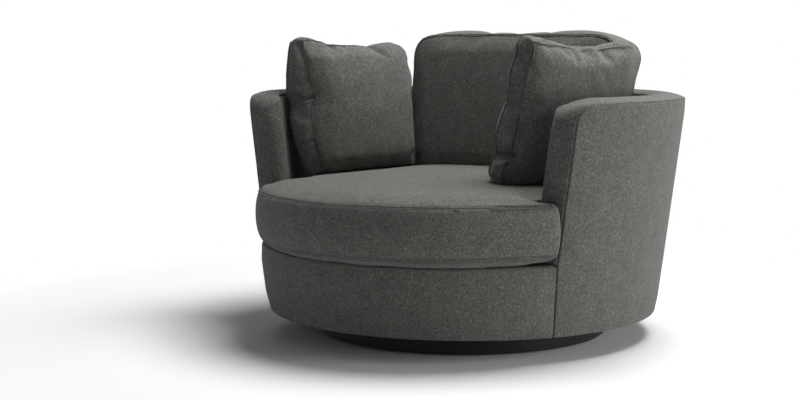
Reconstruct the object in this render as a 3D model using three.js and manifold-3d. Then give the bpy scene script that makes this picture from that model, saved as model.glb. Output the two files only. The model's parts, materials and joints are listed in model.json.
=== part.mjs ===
// A round cuddle chair that turns on a low plinth: plinth, ball bearing swivel, timber frame,
// sprung seat, padded cover and four loose cushions. Millimetres, +Z up. The origin is on the
// floor, on the swivel axis, and the chair faces -Y.
import * as THREE from 'three';
import { mergeVertices } from 'three/addons/utils/BufferGeometryUtils.js';
import Module from 'manifold-3d';

const wasm = await Module();
wasm.setup();

// Overall sizes
const rimHeight = 680; // floor to the seam along the top of the back and arms
const rimRadius = 636; // swivel axis to that seam
const hemHeight = 69; // floor to the lower edge of the cover
const hemRadius = 560;
const deckHeight = 262; // floor to the platform under the seat cushion
const wallThickness = 94; // back and arms, measured level
const armFront = 303; // swivel axis forward to the flat faces of the arms
const seamFoot = 288; // the same where the arm seam reaches the hem
const armNoseRadius = 50; // round top front corner of an arm, seen from the side
const armEdgeRadius = 30; // round inner edge of an arm's front face
const rimCrown = 11; // rise of the top band over its seam
const rimEdgeRadius = 34; // round inner edge of the top band
const seamGap = 0.3; // between pieces that touch
const clearBand = 1; // where a straight piece stands inside a round one
const overrun = 20; // how far a cutting shape runs past what it cuts
const roundSides = 60; // facets of every large round piece
const innerSides = roundSides / 2; // facets of round pieces that lie inside another
const swivelSides = 24; // facets of the bearing's rings
const smallSides = 8; // facets of bolts and glides
const mergeTolerance = 1e-4;

// Cover and padding
const panelThickness = 5; // outside panel of the back and arms
const padThickness = 30; // inside of the back and arms
const topPadThickness = 30; // top band, over the top rail
const armPadThickness = 28; // front faces of the arms
const bandLeg = 3; // how far the top band reaches down the inside
const armLeg = 65; // how far it reaches round the inside at an arm front
const apronThickness = 16;
const apronPuff = 5;
const hemLip = 14; // cover turned in under the base board
const lipThickness = 2.7;
const edgeSoftness = 5; // round lower edge of the panels
const deckThickness = 3.3;

// Plinth
const plinthRadius = 417;
const plinthWall = 18;
const plinthHeight = 52;
const plinthEdge = 3;
const plinthBoardThickness = 18;
const braceThickness = 18;
const glideRadius = 17;
const glideThickness = 4;
const glideInset = 32; // plinth rim to a glide's centre

// Swivel
const swivelHeight = 20; // plinth board to base board
const plateSide = 300;
const plateThickness = 2.5;
const raceRadius = 115; // pitch circle of the balls
const ballRadius = 6.75;
const ballCount = 12;
const lipWidth = 2.5; // raised lips that keep the balls on the race
const lipHeight = 5;
const lipClearance = 2;
const cageWidth = 12;
const cageThickness = 2.4;
const pivotRadius = 6;
const pivotHeadRadius = 11;
const pivotHeadHeight = 6;
const pivotHole = 22; // clearance hole in the boards round the pivot's head and nut
const boltRadius = 3;
const boltHeadRadius = 6.5;
const boltHeadHeight = 4.5;
const boltReach = 16; // screw length in the board
const boltOffset = 130; // bolt places on the plates, along X and Y

// Timber frame
const baseBoardThickness = 18;
const ribThickness = 18;
const ribAngles = [95, 121, 150, 180, 210, 239, 265]; // from -Y round by +X, in degrees
const topRailThickness = 18;
const railJointAngles = [121, 239]; // the top rail's three parts meet here
const webThickness = 2;
const webHeight = 50;
const webBottom = 315;
const webSpacing = 100;
const webCount = 3;
const kickThickness = 6; // bent plywood behind the apron
const frontRailDepth = 34;
const frontRailHeight = 62;
const frontPostAngles = [-28, 28];
const frontPostWidth = 44;
const backRailThickness = 22;
const backRailSetback = 250; // swivel axis back to the rear spring rail
const dustCoverThickness = 0.8;

// Seat springs
const springCount = 6;
const springPitch = 108;
const wireRadius = 1.9;
const waveLength = 68; // one bar and one link of the zigzag
const clipThickness = 1.2;
const clipWidth = 16;
const clipLength = 14;
const clipInset = 16; // clip centre to the inner edge of its rail

// Seat cushion
const seatOverhang = 56; // how far its front seam reaches past the apron
const seatSideInset = 19; // the apron's radius less half the width of the front ellipse
const seatShift = 20; // its front has settled this far to the right
const seatBottomSeam = 286;
const seatTopSeam = 422;
const seatCrown = 43;
const seatClearance = 9; // to the inside of the back and arms
const wingClearance = 4; // to the arm fronts
const wingCorner = 34;
const neckCorner = 26;
const seatCentreY = -60; // highest point
const seatBulgeShare = 0.024;
const seatBackBulgeShare = 0.005;
const seatCoreShare = 0.12; // flat middle of the crown, as a share of the half width
const seatCrownPower = 3.2;
const seatUndersideRise = 7;
const undersideFlatShare = 0.12; // how far the flat underside stays inside the outline
const undersideEdgeShare = 0.04;
const crownShares = [0.03, 0.08, 0.18, 0.34, 0.6, 1]; // rings of the crown, inwards

// Back cushion
const backSideClearance = 12; // its rear seams to the inside of the rim
const backShift = 10; // it sits this far to the right
const backHeight = 440;
const backBoxing = 132;
const backCrown = 26;
const backRearCrown = 10;
const backLeanPastWall = 3.4; // degrees that it leans back more than the wall does
const backFaceInset = 368; // top of its front seam, inwards from the rim
const backRise = 444; // top of its front seam over the seat's top seam
const backCornerPower = 7;
const backDrawIn = 5;

// Throw cushions
const throwWidth = 408;
const throwHeight = 398;
const throwBoxing = 60;
const throwCrown = 44;
const throwCornerPower = 8;
const throwDrawIn = 10;
const throwTurn = 14.5; // degrees that both lie round from +Y
const throwLeanPastWall = 3.3; // degrees that both lean out more than the wall does
const throwForward = 19; // swivel axis forward to their middles
const leftThrowInset = 145; // its middle to the inside of the arm, measured level
const leftThrowRise = 219; // its middle over the seat's top seam
const rightThrowInset = 196;
const rightThrowRise = 228;
const rightThrowRoll = 2.5; // degrees that its front end stands higher
const bulgeShare = 0.025;
const faceShares = [0.12, 0.45, 0.7, 0.86, 0.95, 1]; // rings of a cushion's face, outwards
const facePower = 2.6; // roundness of a cushion's face

// Sizes worked out from those above
const flare = (rimRadius - hemRadius) / (rimHeight - hemHeight);
const outerRadius = (z) => hemRadius + flare * (z - hemHeight);
const innerRadius = (z) => outerRadius(z) - wallThickness;
const baseBoardBottom = plinthHeight + swivelHeight;
const baseBoardTop = baseBoardBottom + baseBoardThickness;
const frameFloor = baseBoardTop + seamGap;
const frameTop = rimHeight - topPadThickness - seamGap;
const topRailBottom = frameTop - topRailThickness;
const frameOuter = (z) => outerRadius(z) - panelThickness - 2 * seamGap;
const frameInner = (z) => innerRadius(z) + padThickness + webThickness + 2 * seamGap;
const deckBottom = deckHeight - deckThickness;
const clipTop = deckBottom - seamGap;
const tunnelHeight = 2 * wireRadius + 2 * seamGap;
const springRailTop = clipTop - clipThickness - tunnelHeight;
const springLevel = springRailTop + seamGap + wireRadius;
const frontRailBottom = springRailTop - frontRailHeight;
const apronInner = (z) => outerRadius(z) - apronThickness;
const frontRailInner = apronInner(frontRailBottom) - seamGap - frontRailDepth;
const wallLean = THREE.MathUtils.radToDeg(Math.atan(flare));
const seatReach = outerRadius(deckHeight) + seatOverhang;
const seatHalfWidth = outerRadius(deckHeight) - seatSideInset;
const farOut = rimRadius + seatReach; // beyond every piece
const backRailRear = backRailSetback + backRailThickness;
const lowerPlateBottom = plinthHeight + seamGap;
const upperPlateBottom = baseBoardBottom - seamGap - plateThickness;

const materials = {
  fabric: new THREE.MeshStandardMaterial({ color: 0x5c5c57, roughness: 0.95, metalness: 0 }),
  fabricDark: new THREE.MeshStandardMaterial({ color: 0x1b1b1b, roughness: 0.95, metalness: 0 }),
  webbing: new THREE.MeshStandardMaterial({ color: 0x8a7a5c, roughness: 0.9, metalness: 0 }),
  plinth: new THREE.MeshStandardMaterial({ color: 0x141414, roughness: 0.55, metalness: 0 }),
  timber: new THREE.MeshStandardMaterial({ color: 0xb78f5e, roughness: 0.7, metalness: 0 }),
  steel: new THREE.MeshStandardMaterial({ color: 0x9a9da0, roughness: 0.35, metalness: 1 }),
  plastic: new THREE.MeshStandardMaterial({ color: 0x202022, roughness: 0.6, metalness: 0 }),
};

const chair = new THREE.Group();
const baseGroup = new THREE.Group();
const turningGroup = new THREE.Group();
chair.add(baseGroup, turningGroup);

function place(group, name, geometry, material, position = [0, 0, 0], turn = 0) {
  const mesh = new THREE.Mesh(geometry, material);
  mesh.name = name;
  mesh.position.set(...position);
  mesh.rotation.z = turn;
  group.add(mesh);
  return mesh;
}

// Solids

// Merges the corners of a geometry, drops empty triangles and turns its faces outward.
function closed(geometry) {
  const bare = geometry.clone();
  bare.deleteAttribute('normal');
  bare.deleteAttribute('uv');
  const merged = mergeVertices(bare, mergeTolerance);
  const source = merged.index.array;
  const kept = [];
  for (let i = 0; i < source.length; i += 3) {
    const [a, b, c] = [source[i], source[i + 1], source[i + 2]];
    if (a !== b && b !== c && c !== a) kept.push(a, b, c);
  }
  const corner = (i) => new THREE.Vector3().fromBufferAttribute(merged.attributes.position, i);
  let volume = 0;
  for (let i = 0; i < kept.length; i += 3) {
    volume += corner(kept[i]).dot(corner(kept[i + 1]).cross(corner(kept[i + 2])));
  }
  if (volume < 0) kept.reverse();
  merged.setIndex(kept);
  merged.computeVertexNormals();
  return merged;
}

function toSolid(geometry) {
  const clean = closed(geometry);
  return new wasm.Manifold(new wasm.Mesh({
    numProp: 3,
    vertProperties: Float32Array.from(clean.attributes.position.array),
    triVerts: Uint32Array.from(clean.index.array),
  }));
}

function toGeometry(solid) {
  const mesh = solid.getMesh();
  const geometry = new THREE.BufferGeometry();
  geometry.setAttribute('position', new THREE.Float32BufferAttribute(mesh.vertProperties, 3));
  geometry.setIndex([...mesh.triVerts]);
  geometry.computeVertexNormals();
  return geometry;
}

// Revolves a profile of [radius, height] points about the Z axis.
function revolve(profile, sides = roundSides) {
  const points = profile.map(([radius, height]) => new THREE.Vector2(radius, height));
  if (profile[0][0] > 0) points.push(points[0].clone());
  return toSolid(new THREE.LatheGeometry(points, sides).rotateX(Math.PI / 2));
}

// A ring between two radii that may change with height.
function ring(inner, outer, low, high, sides = roundSides) {
  return revolve([[inner(low), low], [outer(low), low], [outer(high), high], [inner(high), high]], sides);
}

function disc(radius, low, high, sides = roundSides) {
  return revolve([[0, low], [radius, low], [radius, high], [0, high]], sides);
}

// A block from its low corner to its high corner.
function block(low, high) {
  const size = high.map((value, axis) => value - low[axis]);
  const middle = high.map((value, axis) => (value + low[axis]) / 2);
  return toSolid(new THREE.BoxGeometry(...size).translate(...middle));
}

// Extrudes a shape drawn in Y and Z across the whole chair along X.
const sideToWorld = new THREE.Matrix4().makeBasis(
  new THREE.Vector3(0, 1, 0),
  new THREE.Vector3(0, 0, 1),
  new THREE.Vector3(1, 0, 0),
);
function acrossX(shape) {
  const depth = 2 * farOut;
  const geometry = new THREE.ExtrudeGeometry(shape, { depth, bevelEnabled: false, curveSegments: 6 });
  return toSolid(geometry.translate(0, 0, -farOut).applyMatrix4(sideToWorld));
}

// The space behind the arms' front faces, inset from them, with their round noses.
function behindArmFronts(inset) {
  const nose = armNoseRadius - inset;
  const noseY = armNoseRadius - armFront;
  const shape = new THREE.Shape();
  shape.moveTo(farOut, -overrun);
  shape.lineTo(inset - seamFoot, -overrun);
  shape.lineTo(inset - seamFoot, hemHeight);
  shape.lineTo(inset - armFront, deckHeight);
  shape.absarc(noseY, rimHeight - armNoseRadius, nose, Math.PI, Math.PI / 2, true);
  shape.lineTo(noseY + armNoseRadius, rimHeight - inset + rimCrown);
  shape.lineTo(noseY + armNoseRadius, farOut);
  shape.lineTo(farOut, farOut);
  return acrossX(shape);
}

// The space in front of the same faces.
function beforeArmFronts(gap) {
  const shape = new THREE.Shape();
  shape.moveTo(-farOut, -overrun);
  shape.lineTo(-seamFoot - gap, -overrun);
  shape.lineTo(-seamFoot - gap, hemHeight);
  shape.lineTo(-armFront - gap, deckHeight);
  shape.lineTo(-armFront - gap, farOut);
  shape.lineTo(-farOut, farOut);
  return acrossX(shape);
}

// Joins rings of points of equal count into a closed skin; flat ends are filled.
function skin(rings) {
  const count = rings[0].length;
  const corners = rings.flat();
  const triangles = [];
  for (let level = 0; level + 1 < rings.length; level += 1) {
    for (let i = 0; i < count; i += 1) {
      const a = level * count + i;
      const b = level * count + (i + 1) % count;
      triangles.push(a, b, b + count, a, b + count, a + count);
    }
  }
  const flat = rings[0].map((point) => new THREE.Vector2(point.x, point.y));
  const last = (rings.length - 1) * count;
  const clockwise = THREE.ShapeUtils.isClockWise(flat);
  for (const face of THREE.ShapeUtils.triangulateShape(flat, [])) {
    const [a, b, c] = clockwise ? [...face].reverse() : face;
    triangles.push(c, b, a, last + a, last + b, last + c);
  }
  const geometry = new THREE.BufferGeometry().setFromPoints(corners);
  geometry.setIndex(triangles);
  return geometry;
}

// A pie slice between two angles counted from -Y round by +X.
function sector(from, to) {
  const shape = new THREE.Shape();
  shape.moveTo(0, 0);
  const steps = 4;
  for (let i = 0; i <= steps; i += 1) {
    const angle = THREE.MathUtils.degToRad(from + (to - from) * i / steps);
    shape.lineTo(2 * farOut * Math.sin(angle), -2 * farOut * Math.cos(angle));
  }
  return toSolid(new THREE.ExtrudeGeometry(shape, { depth: farOut, bevelEnabled: false }));
}

// Plinth

function buildPlinth() {
  const wallInner = plinthRadius - plinthWall;
  const ringBottom = glideThickness + seamGap;
  const plinthRing = revolve([
    [wallInner, ringBottom],
    [plinthRadius, ringBottom],
    [plinthRadius, plinthHeight - plinthEdge],
    [plinthRadius - plinthEdge, plinthHeight],
    [wallInner, plinthHeight],
  ]);
  place(baseGroup, 'plinth_ring', toGeometry(plinthRing), materials.plinth);

  const boardBottom = plinthHeight - plinthBoardThickness;
  let board = disc(wallInner - seamGap, boardBottom, plinthHeight, innerSides);
  board = board.subtract(disc(pivotHole, 0, rimHeight, smallSides));
  for (const [x, y] of boltPlaces()) board = board.subtract(boltHole(x, y));
  place(baseGroup, 'plinth_top_board', toGeometry(board), materials.plinth);

  const reach = wallInner - overrun;
  const braceTop = boardBottom - seamGap;
  const braceMiddle = (ringBottom + braceTop) / 2;
  const half = braceThickness / 2;
  const notch = half + seamGap;
  const long = block([-reach, -half, ringBottom], [reach, half, braceTop])
    .subtract(block([-notch, -overrun, braceMiddle - seamGap / 2], [notch, overrun, rimHeight]));
  const cross = block([-half, -reach, ringBottom], [half, reach, braceTop])
    .subtract(block([-overrun, -notch, 0], [overrun, notch, braceMiddle + seamGap / 2]));
  place(baseGroup, 'plinth_brace_long', toGeometry(long), materials.timber);
  place(baseGroup, 'plinth_brace_cross', toGeometry(cross), materials.timber);

  const glide = new THREE.CylinderGeometry(glideRadius, glideRadius, glideThickness, 2 * smallSides)
    .rotateX(Math.PI / 2);
  const glideReach = plinthRadius - glideInset - glideRadius;
  const glidePlaces = [[0, 0], [glideReach, 0], [0, glideReach], [-glideReach, 0], [0, -glideReach]];
  const glideNames = ['centre', 'right', 'back', 'left', 'front'];
  glidePlaces.forEach(([x, y], i) => {
    place(baseGroup, `glide_${glideNames[i]}`, closed(glide), materials.plastic, [x, y, glideThickness / 2]);
  });
}

// Swivel: two pressed plates, a caged ball race between them and a pivot bolt through both

function boltPlaces() {
  return [[1, 1], [-1, 1], [-1, -1], [1, -1]].map(([x, y]) => [x * boltOffset, y * boltOffset]);
}

function boltHole(x, y) {
  return disc(boltRadius + seamGap, 0, baseBoardTop + overrun, smallSides).translate([x, y, 0]);
}

// A pressed plate with its lips on the upper side; its flat back is at height zero.
function pressedPlate(pivotClearance) {
  const half = plateSide / 2;
  const lipInner = raceRadius - ballRadius - lipClearance;
  const lipOuter = raceRadius + ballRadius + lipClearance;
  const lipTop = plateThickness + lipHeight;
  let plate = block([-half, -half, 0], [half, half, plateThickness]);
  for (const radius of [lipInner - lipWidth, lipOuter]) {
    plate = plate.add(ring(() => radius, () => radius + lipWidth, plateThickness / 2, lipTop, swivelSides));
  }
  plate = plate.subtract(disc(pivotRadius + pivotClearance, -overrun, overrun, 2 * smallSides));
  for (const [x, y] of boltPlaces()) {
    plate = plate.subtract(disc(boltRadius + seamGap, -overrun, overrun, smallSides).translate([x, y, 0]));
  }
  return toGeometry(plate);
}

// A hexagon head screw that points down from height zero.
function screw(radius, headRadius, headHeight, length) {
  const head = toSolid(new THREE.CylinderGeometry(headRadius, headRadius, headHeight, 6)
    .rotateX(Math.PI / 2).translate(0, 0, headHeight / 2));
  const shank = disc(radius, -length, headHeight / 2, smallSides);
  return toGeometry(head.add(shank));
}

function buildSwivel() {
  place(baseGroup, 'swivel_lower_plate', pressedPlate(seamGap), materials.steel, [0, 0, lowerPlateBottom]);
  const upper = place(turningGroup, 'swivel_upper_plate', pressedPlate(2 * seamGap), materials.steel);
  upper.position.z = baseBoardBottom - seamGap;
  upper.rotation.x = Math.PI;

  const headSeat = lowerPlateBottom + plateThickness + seamGap;
  const bolt = screw(boltRadius, boltHeadRadius, boltHeadHeight, boltReach + plateThickness);
  boltPlaces().forEach(([x, y], i) => {
    place(baseGroup, `lower_plate_screw_${i + 1}`, bolt, materials.steel, [x, y, headSeat]);
    const raised = place(turningGroup, `upper_plate_screw_${i + 1}`, bolt, materials.steel);
    raised.position.set(x, y, upperPlateBottom - seamGap);
    raised.rotation.x = Math.PI;
  });

  const cageLevel = (lowerPlateBottom + plateThickness + upperPlateBottom) / 2;
  let cage = ring(() => raceRadius - cageWidth / 2, () => raceRadius + cageWidth / 2,
    -cageThickness / 2, cageThickness / 2, swivelSides);
  for (let i = 0; i < ballCount; i += 1) {
    const angle = 2 * Math.PI * i / ballCount;
    const ball = new THREE.SphereGeometry(ballRadius, 8, 4).rotateX(Math.PI / 2)
      .translate(raceRadius * Math.cos(angle), raceRadius * Math.sin(angle), 0);
    cage = cage.add(toSolid(ball));
  }
  place(baseGroup, 'ball_cage', toGeometry(cage), materials.steel, [0, 0, cageLevel]);

  const nutBottom = baseBoardBottom;
  const pivotSeat = lowerPlateBottom - seamGap;
  const pivotLength = nutBottom - pivotSeat + pivotHeadHeight + seamGap;
  const pivot = place(baseGroup, 'pivot_bolt',
    screw(pivotRadius, pivotHeadRadius, pivotHeadHeight, pivotLength), materials.steel, [0, 0, pivotSeat]);
  pivot.rotation.x = Math.PI;
  const nut = toSolid(new THREE.CylinderGeometry(pivotHeadRadius, pivotHeadRadius, pivotHeadHeight, 6)
    .rotateX(Math.PI / 2)).subtract(disc(pivotRadius + seamGap, -overrun, overrun, smallSides));
  place(baseGroup, 'pivot_nut', toGeometry(nut), materials.steel, [0, 0, nutBottom + pivotHeadHeight / 2]);
}

// Timber frame

function buildFrame() {
  const behind = behindArmFronts(armPadThickness + seamGap);
  const wallSpace = ring(frameInner, frameOuter, 0, frameTop).intersect(behind);
  const before = beforeArmFronts(seamGap);

  const boardEdge = frameOuter(baseBoardBottom);
  let baseBoard = disc(boardEdge, baseBoardBottom, baseBoardTop).intersect(behindArmFronts(seamGap))
    .add(disc(apronInner(baseBoardBottom) - seamGap, baseBoardBottom, baseBoardTop))
    .subtract(disc(pivotHole, 0, rimHeight, smallSides));
  for (const [x, y] of boltPlaces()) baseBoard = baseBoard.subtract(boltHole(x, y));
  place(turningGroup, 'base_board', toGeometry(baseBoard), materials.timber);

  const half = ribThickness / 2;
  const ribTop = topRailBottom - seamGap;
  const ribBlank = block([-half, -farOut, frameFloor], [half, -overrun, ribTop]);
  ribAngles.forEach((angle, i) => {
    const rib = ribBlank.rotate([0, 0, angle]).intersect(wallSpace);
    place(turningGroup, `back_rib_${i + 1}`, toGeometry(rib), materials.timber);
  });

  const behindPost = behindArmFronts(armPadThickness + seamGap + ribThickness);
  const posts = wallSpace.intersect(block([-farOut, -armFront, frameFloor], [farOut, 0, ribTop]))
    .subtract(behindPost);
  for (const [name, side] of [['left', -1], ['right', 1]]) {
    const [low, high] = [Math.min(0, side) * farOut, Math.max(0, side) * farOut];
    const ownSide = block([low, -farOut, 0], [high, farOut, farOut]);
    place(turningGroup, `arm_post_${name}`, toGeometry(posts.intersect(ownSide)), materials.timber);
  }

  const topRail = wallSpace.intersect(block([-farOut, -farOut, topRailBottom], [farOut, farOut, frameTop]));
  const slack = THREE.MathUtils.radToDeg(seamGap / rimRadius);
  const bounds = [0, ...railJointAngles, 360];
  ['right', 'back', 'left'].forEach((name, i) => {
    const part = topRail.intersect(sector(bounds[i] + slack, bounds[i + 1] - slack));
    place(turningGroup, `top_rail_${name}`, toGeometry(part), materials.timber);
  });

  const webInner = (z) => innerRadius(z) + padThickness + seamGap;
  const webOuter = (z) => webInner(z) + webThickness;
  for (let i = 0; i < webCount; i += 1) {
    const low = webBottom + i * webSpacing;
    const band = ring(webInner, webOuter, low, low + webHeight).intersect(behind);
    place(turningGroup, `back_webbing_${i + 1}`, toGeometry(band), materials.webbing);
  }

  const kickOuter = (z) => apronInner(z) - seamGap;
  const kickInner = (z) => kickOuter(z) - kickThickness;
  const kick = ring(kickInner, kickOuter, frameFloor, frontRailBottom - seamGap).intersect(before);
  place(turningGroup, 'front_kick_panel', toGeometry(kick), materials.timber);

  let frontRail = ring(() => frontRailInner, kickOuter, frontRailBottom, springRailTop).intersect(before);
  const backEdge = (z) => frameInner(z) - seamGap;
  let backRail = block([-farOut, backRailSetback, frameFloor], [farOut, backRailRear, springRailTop])
    .intersect(revolve([
      [0, frameFloor], [backEdge(frameFloor), frameFloor], [backEdge(springRailTop), springRailTop],
      [0, springRailTop],
    ]));
  for (const { x, front, back } of springLines()) {
    frontRail = addClip(frontRail, x, front);
    backRail = addClip(backRail, x, back);
  }
  place(turningGroup, 'front_spring_rail', toGeometry(frontRail), materials.timber);
  place(turningGroup, 'rear_spring_rail', toGeometry(backRail), materials.timber);

  const postDepth = frontRailDepth / 2;
  const kickNarrowest = Math.min(kickInner(frameFloor), kickInner(frontRailBottom));
  const postRadius = kickNarrowest - postDepth / 2 - 2 * clearBand;
  const postHeight = frontRailBottom - frameFloor - seamGap;
  const frontPost = new THREE.BoxGeometry(frontPostWidth, postDepth, postHeight);
  frontPostAngles.forEach((degrees, i) => {
    const angle = THREE.MathUtils.degToRad(degrees);
    place(turningGroup, `front_post_${i + 1}`, closed(frontPost), materials.timber,
      [postRadius * Math.sin(angle), -postRadius * Math.cos(angle), frameFloor + postHeight / 2], angle);
  });

  const boardHole = plateSide * Math.SQRT1_2 + 2 * glideThickness;
  const dustEdge = hemRadius - hemLip - apronThickness - 2 * seamGap;
  const dustTop = baseBoardBottom - seamGap;
  const dustCover = ring(() => boardHole, () => dustEdge, dustTop - dustCoverThickness, dustTop, innerSides);
  place(turningGroup, 'dust_cover', toGeometry(dustCover), materials.fabricDark);
}

// Seat springs: zigzag wires from the front rail to the rear rail, each end held by a clip

function springLines() {
  return Array.from({ length: springCount }, (_, i) => {
    const x = (i - (springCount - 1) / 2) * springPitch;
    const front = -Math.sqrt((frontRailInner + clipInset) ** 2 - x * x);
    return { x, front, back: backRailSetback + clipInset - backRailThickness / 2 + wireRadius };
  });
}

// Adds a clip with a tunnel for the wire to the top of a rail.
function addClip(rail, x, y) {
  const halfWidth = clipWidth / 2;
  const halfLength = clipLength / 2;
  const halfTunnel = wireRadius + seamGap;
  const strap = block([x - halfWidth, y - halfLength, springRailTop - clipThickness],
    [x + halfWidth, y + halfLength, clipTop]);
  const tunnel = block([x - halfTunnel, y - clipLength, springRailTop],
    [x + halfTunnel, y + clipLength, springRailTop + tunnelHeight]);
  return rail.add(strap).subtract(tunnel);
}

// The zigzag keeps to one side at its ends, so that each end runs straight through its clip.
// Its corners are cut so that all its straight runs are equally long.
function springPath(x, front, back) {
  const run = waveLength * (Math.SQRT2 - 1);
  const cut = run * Math.SQRT1_2;
  const length = back - front;
  const waves = 2 * Math.floor((length - 2 * waveLength) / (2 * waveLength)) + 1;
  const lead = (length - waves * waveLength) / 2 + cut / 2;
  const leadSteps = Math.max(1, Math.round(lead / run));
  const points = [];
  let y = front;
  let offset = 0;
  const step = (dx, dy) => {
    offset += dx;
    y += dy;
    points.push(new THREE.Vector3(x + offset, y, springLevel));
  };
  step(0, 0);
  for (let i = 0; i < leadSteps; i += 1) step(0, lead / leadSteps);
  for (let wave = 0; wave < waves - 1; wave += 1) {
    const side = wave % 2 === 0 ? 1 : -1;
    step(side * cut, cut);
    step(side * run, 0);
    step(side * cut, cut);
    if (wave < waves - 2) step(0, run);
  }
  const rest = back - y;
  for (let i = 0; i < leadSteps; i += 1) step(0, rest / leadSteps);
  return points;
}

function buildSprings() {
  const section = new THREE.Shape([[1, 0], [0, 1], [-1, 0], [0, -1]]
    .map(([x, y]) => new THREE.Vector2(wireRadius * x, wireRadius * y)));
  springLines().forEach(({ x, front, back }, i) => {
    const points = springPath(x, front - clipLength, back + clipLength / 2 + seamGap);
    const path = new THREE.CurvePath();
    for (let k = 0; k + 1 < points.length; k += 1) path.add(new THREE.LineCurve3(points[k], points[k + 1]));
    const steps = points.length - 1;
    path.arcLengthDivisions = steps;
    const wire = new THREE.ExtrudeGeometry(section, { steps, extrudePath: path });
    place(turningGroup, `seat_spring_${i + 1}`, closed(wire), materials.steel);
  });
}

// Cover and padding

function armEdgeCutter(side) {
  const levels = 6;
  const arcSteps = 5;
  const rings = [];
  for (let level = 0; level <= levels; level += 1) {
    const z = deckHeight - overrun + (rimHeight - deckHeight + 3 * overrun) * level / levels;
    const centreRadius = innerRadius(z) + armEdgeRadius;
    const centreY = armEdgeRadius - armFront;
    const centreX = Math.sqrt(centreRadius ** 2 - centreY ** 2);
    const end = -Math.PI + Math.atan2(centreY, centreX);
    const start = -Math.PI / 2;
    const outline = [];
    for (let i = 0; i <= arcSteps; i += 1) {
      const angle = start + (end - start) * i / arcSteps;
      outline.push([centreX + armEdgeRadius * Math.cos(angle), centreY + armEdgeRadius * Math.sin(angle)]);
    }
    const [tipX, tipY] = outline[arcSteps];
    const backedOff = tipX - 2 * armEdgeRadius;
    outline.push([backedOff, tipY], [backedOff, -armFront - overrun], [centreX, -armFront - overrun]);
    rings.push(outline.map(([x, y]) => new THREE.Vector3(side * x, y, z)));
  }
  return toSolid(skin(rings));
}

function buildCover() {
  const coverBottom = deckHeight + seamGap;
  const crownTop = rimHeight + rimCrown;
  const edgeCentreZ = crownTop - rimEdgeRadius;
  const edgeCentreR = innerRadius(edgeCentreZ) + rimEdgeRadius;
  const profile = [[outerRadius(coverBottom), coverBottom], [rimRadius, rimHeight]];
  const crownSteps = 3;
  for (let i = 1; i <= crownSteps; i += 1) {
    const share = i / crownSteps;
    profile.push([
      rimRadius + (edgeCentreR - rimRadius) * share,
      rimHeight + rimCrown * Math.sin(share * Math.PI / 2),
    ]);
  }
  const edgeSteps = 4;
  for (let i = 1; i <= edgeSteps; i += 1) {
    const angle = Math.PI / 2 * (1 + i / edgeSteps);
    profile.push([
      edgeCentreR + rimEdgeRadius * Math.cos(angle),
      edgeCentreZ + rimEdgeRadius * Math.sin(angle),
    ]);
  }
  profile.push([innerRadius(coverBottom), coverBottom]);

  const core = ring((z) => innerRadius(z) + padThickness, (z) => outerRadius(z) + overrun, 0,
    rimHeight - topPadThickness).intersect(behindArmFronts(armPadThickness));
  const lining = revolve(profile).intersect(behindArmFronts(0))
    .subtract(armEdgeCutter(1)).subtract(armEdgeCutter(-1)).subtract(core);

  const legTop = rimHeight - bandLeg;
  const legEnd = armLeg - armFront;
  const padZone = (gap) => ring((z) => innerRadius(z) - overrun, (z) => innerRadius(z) + padThickness + gap,
    0, legTop + gap).intersect(block([-farOut, legEnd - gap, 0], [farOut, farOut, farOut]));
  const pad = lining.intersect(padZone(0));
  const panelZone = ring((z) => outerRadius(z) - panelThickness - seamGap, (z) => outerRadius(z) + overrun,
    0, rimHeight);
  const band = lining.subtract(padZone(seamGap)).subtract(panelZone);
  place(turningGroup, 'inside_back_pad', toGeometry(pad), materials.fabric);
  place(turningGroup, 'top_and_arm_band', toGeometry(band), materials.fabric);

  const lipInner = hemRadius - hemLip;
  const lipTop = hemHeight + lipThickness;
  const panelTop = rimHeight - seamGap;
  const outside = revolve([
    [lipInner, hemHeight],
    [hemRadius - edgeSoftness, hemHeight],
    [outerRadius(hemHeight + edgeSoftness), hemHeight + edgeSoftness],
    [outerRadius(panelTop), panelTop],
    [outerRadius(panelTop) - panelThickness, panelTop],
    [outerRadius(lipTop) - panelThickness, lipTop],
    [lipInner, lipTop],
  ]).intersect(behindArmFronts(0));
  place(turningGroup, 'outside_panel', toGeometry(outside), materials.fabric);

  const apronProfile = [[lipInner - apronThickness, hemHeight], [hemRadius - edgeSoftness, hemHeight]];
  const apronSteps = 5;
  const apronTop = deckHeight - 2 * edgeSoftness;
  for (let i = 0; i <= apronSteps; i += 1) {
    const z = hemHeight + edgeSoftness + (apronTop - hemHeight - edgeSoftness) * i / apronSteps;
    apronProfile.push([outerRadius(z) + apronPuff * Math.sin(Math.PI * i / apronSteps), z]);
  }
  apronProfile.push(
    [outerRadius(deckHeight) - edgeSoftness, deckHeight],
    [apronInner(deckHeight), deckHeight],
    [apronInner(lipTop), lipTop],
    [lipInner - apronThickness, lipTop],
  );
  const apron = revolve(apronProfile).intersect(beforeArmFronts(seamGap));
  place(turningGroup, 'front_apron', toGeometry(apron), materials.fabric);

  const deck = disc(apronInner(deckHeight) - 2 * seamGap, deckBottom, deckHeight)
    .intersect(beforeArmFronts(seamGap))
    .add(disc(innerRadius(deckBottom) + padThickness, deckBottom, deckHeight));
  place(turningGroup, 'seat_deck', toGeometry(deck), materials.fabricDark);
}

// Cushions

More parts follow.
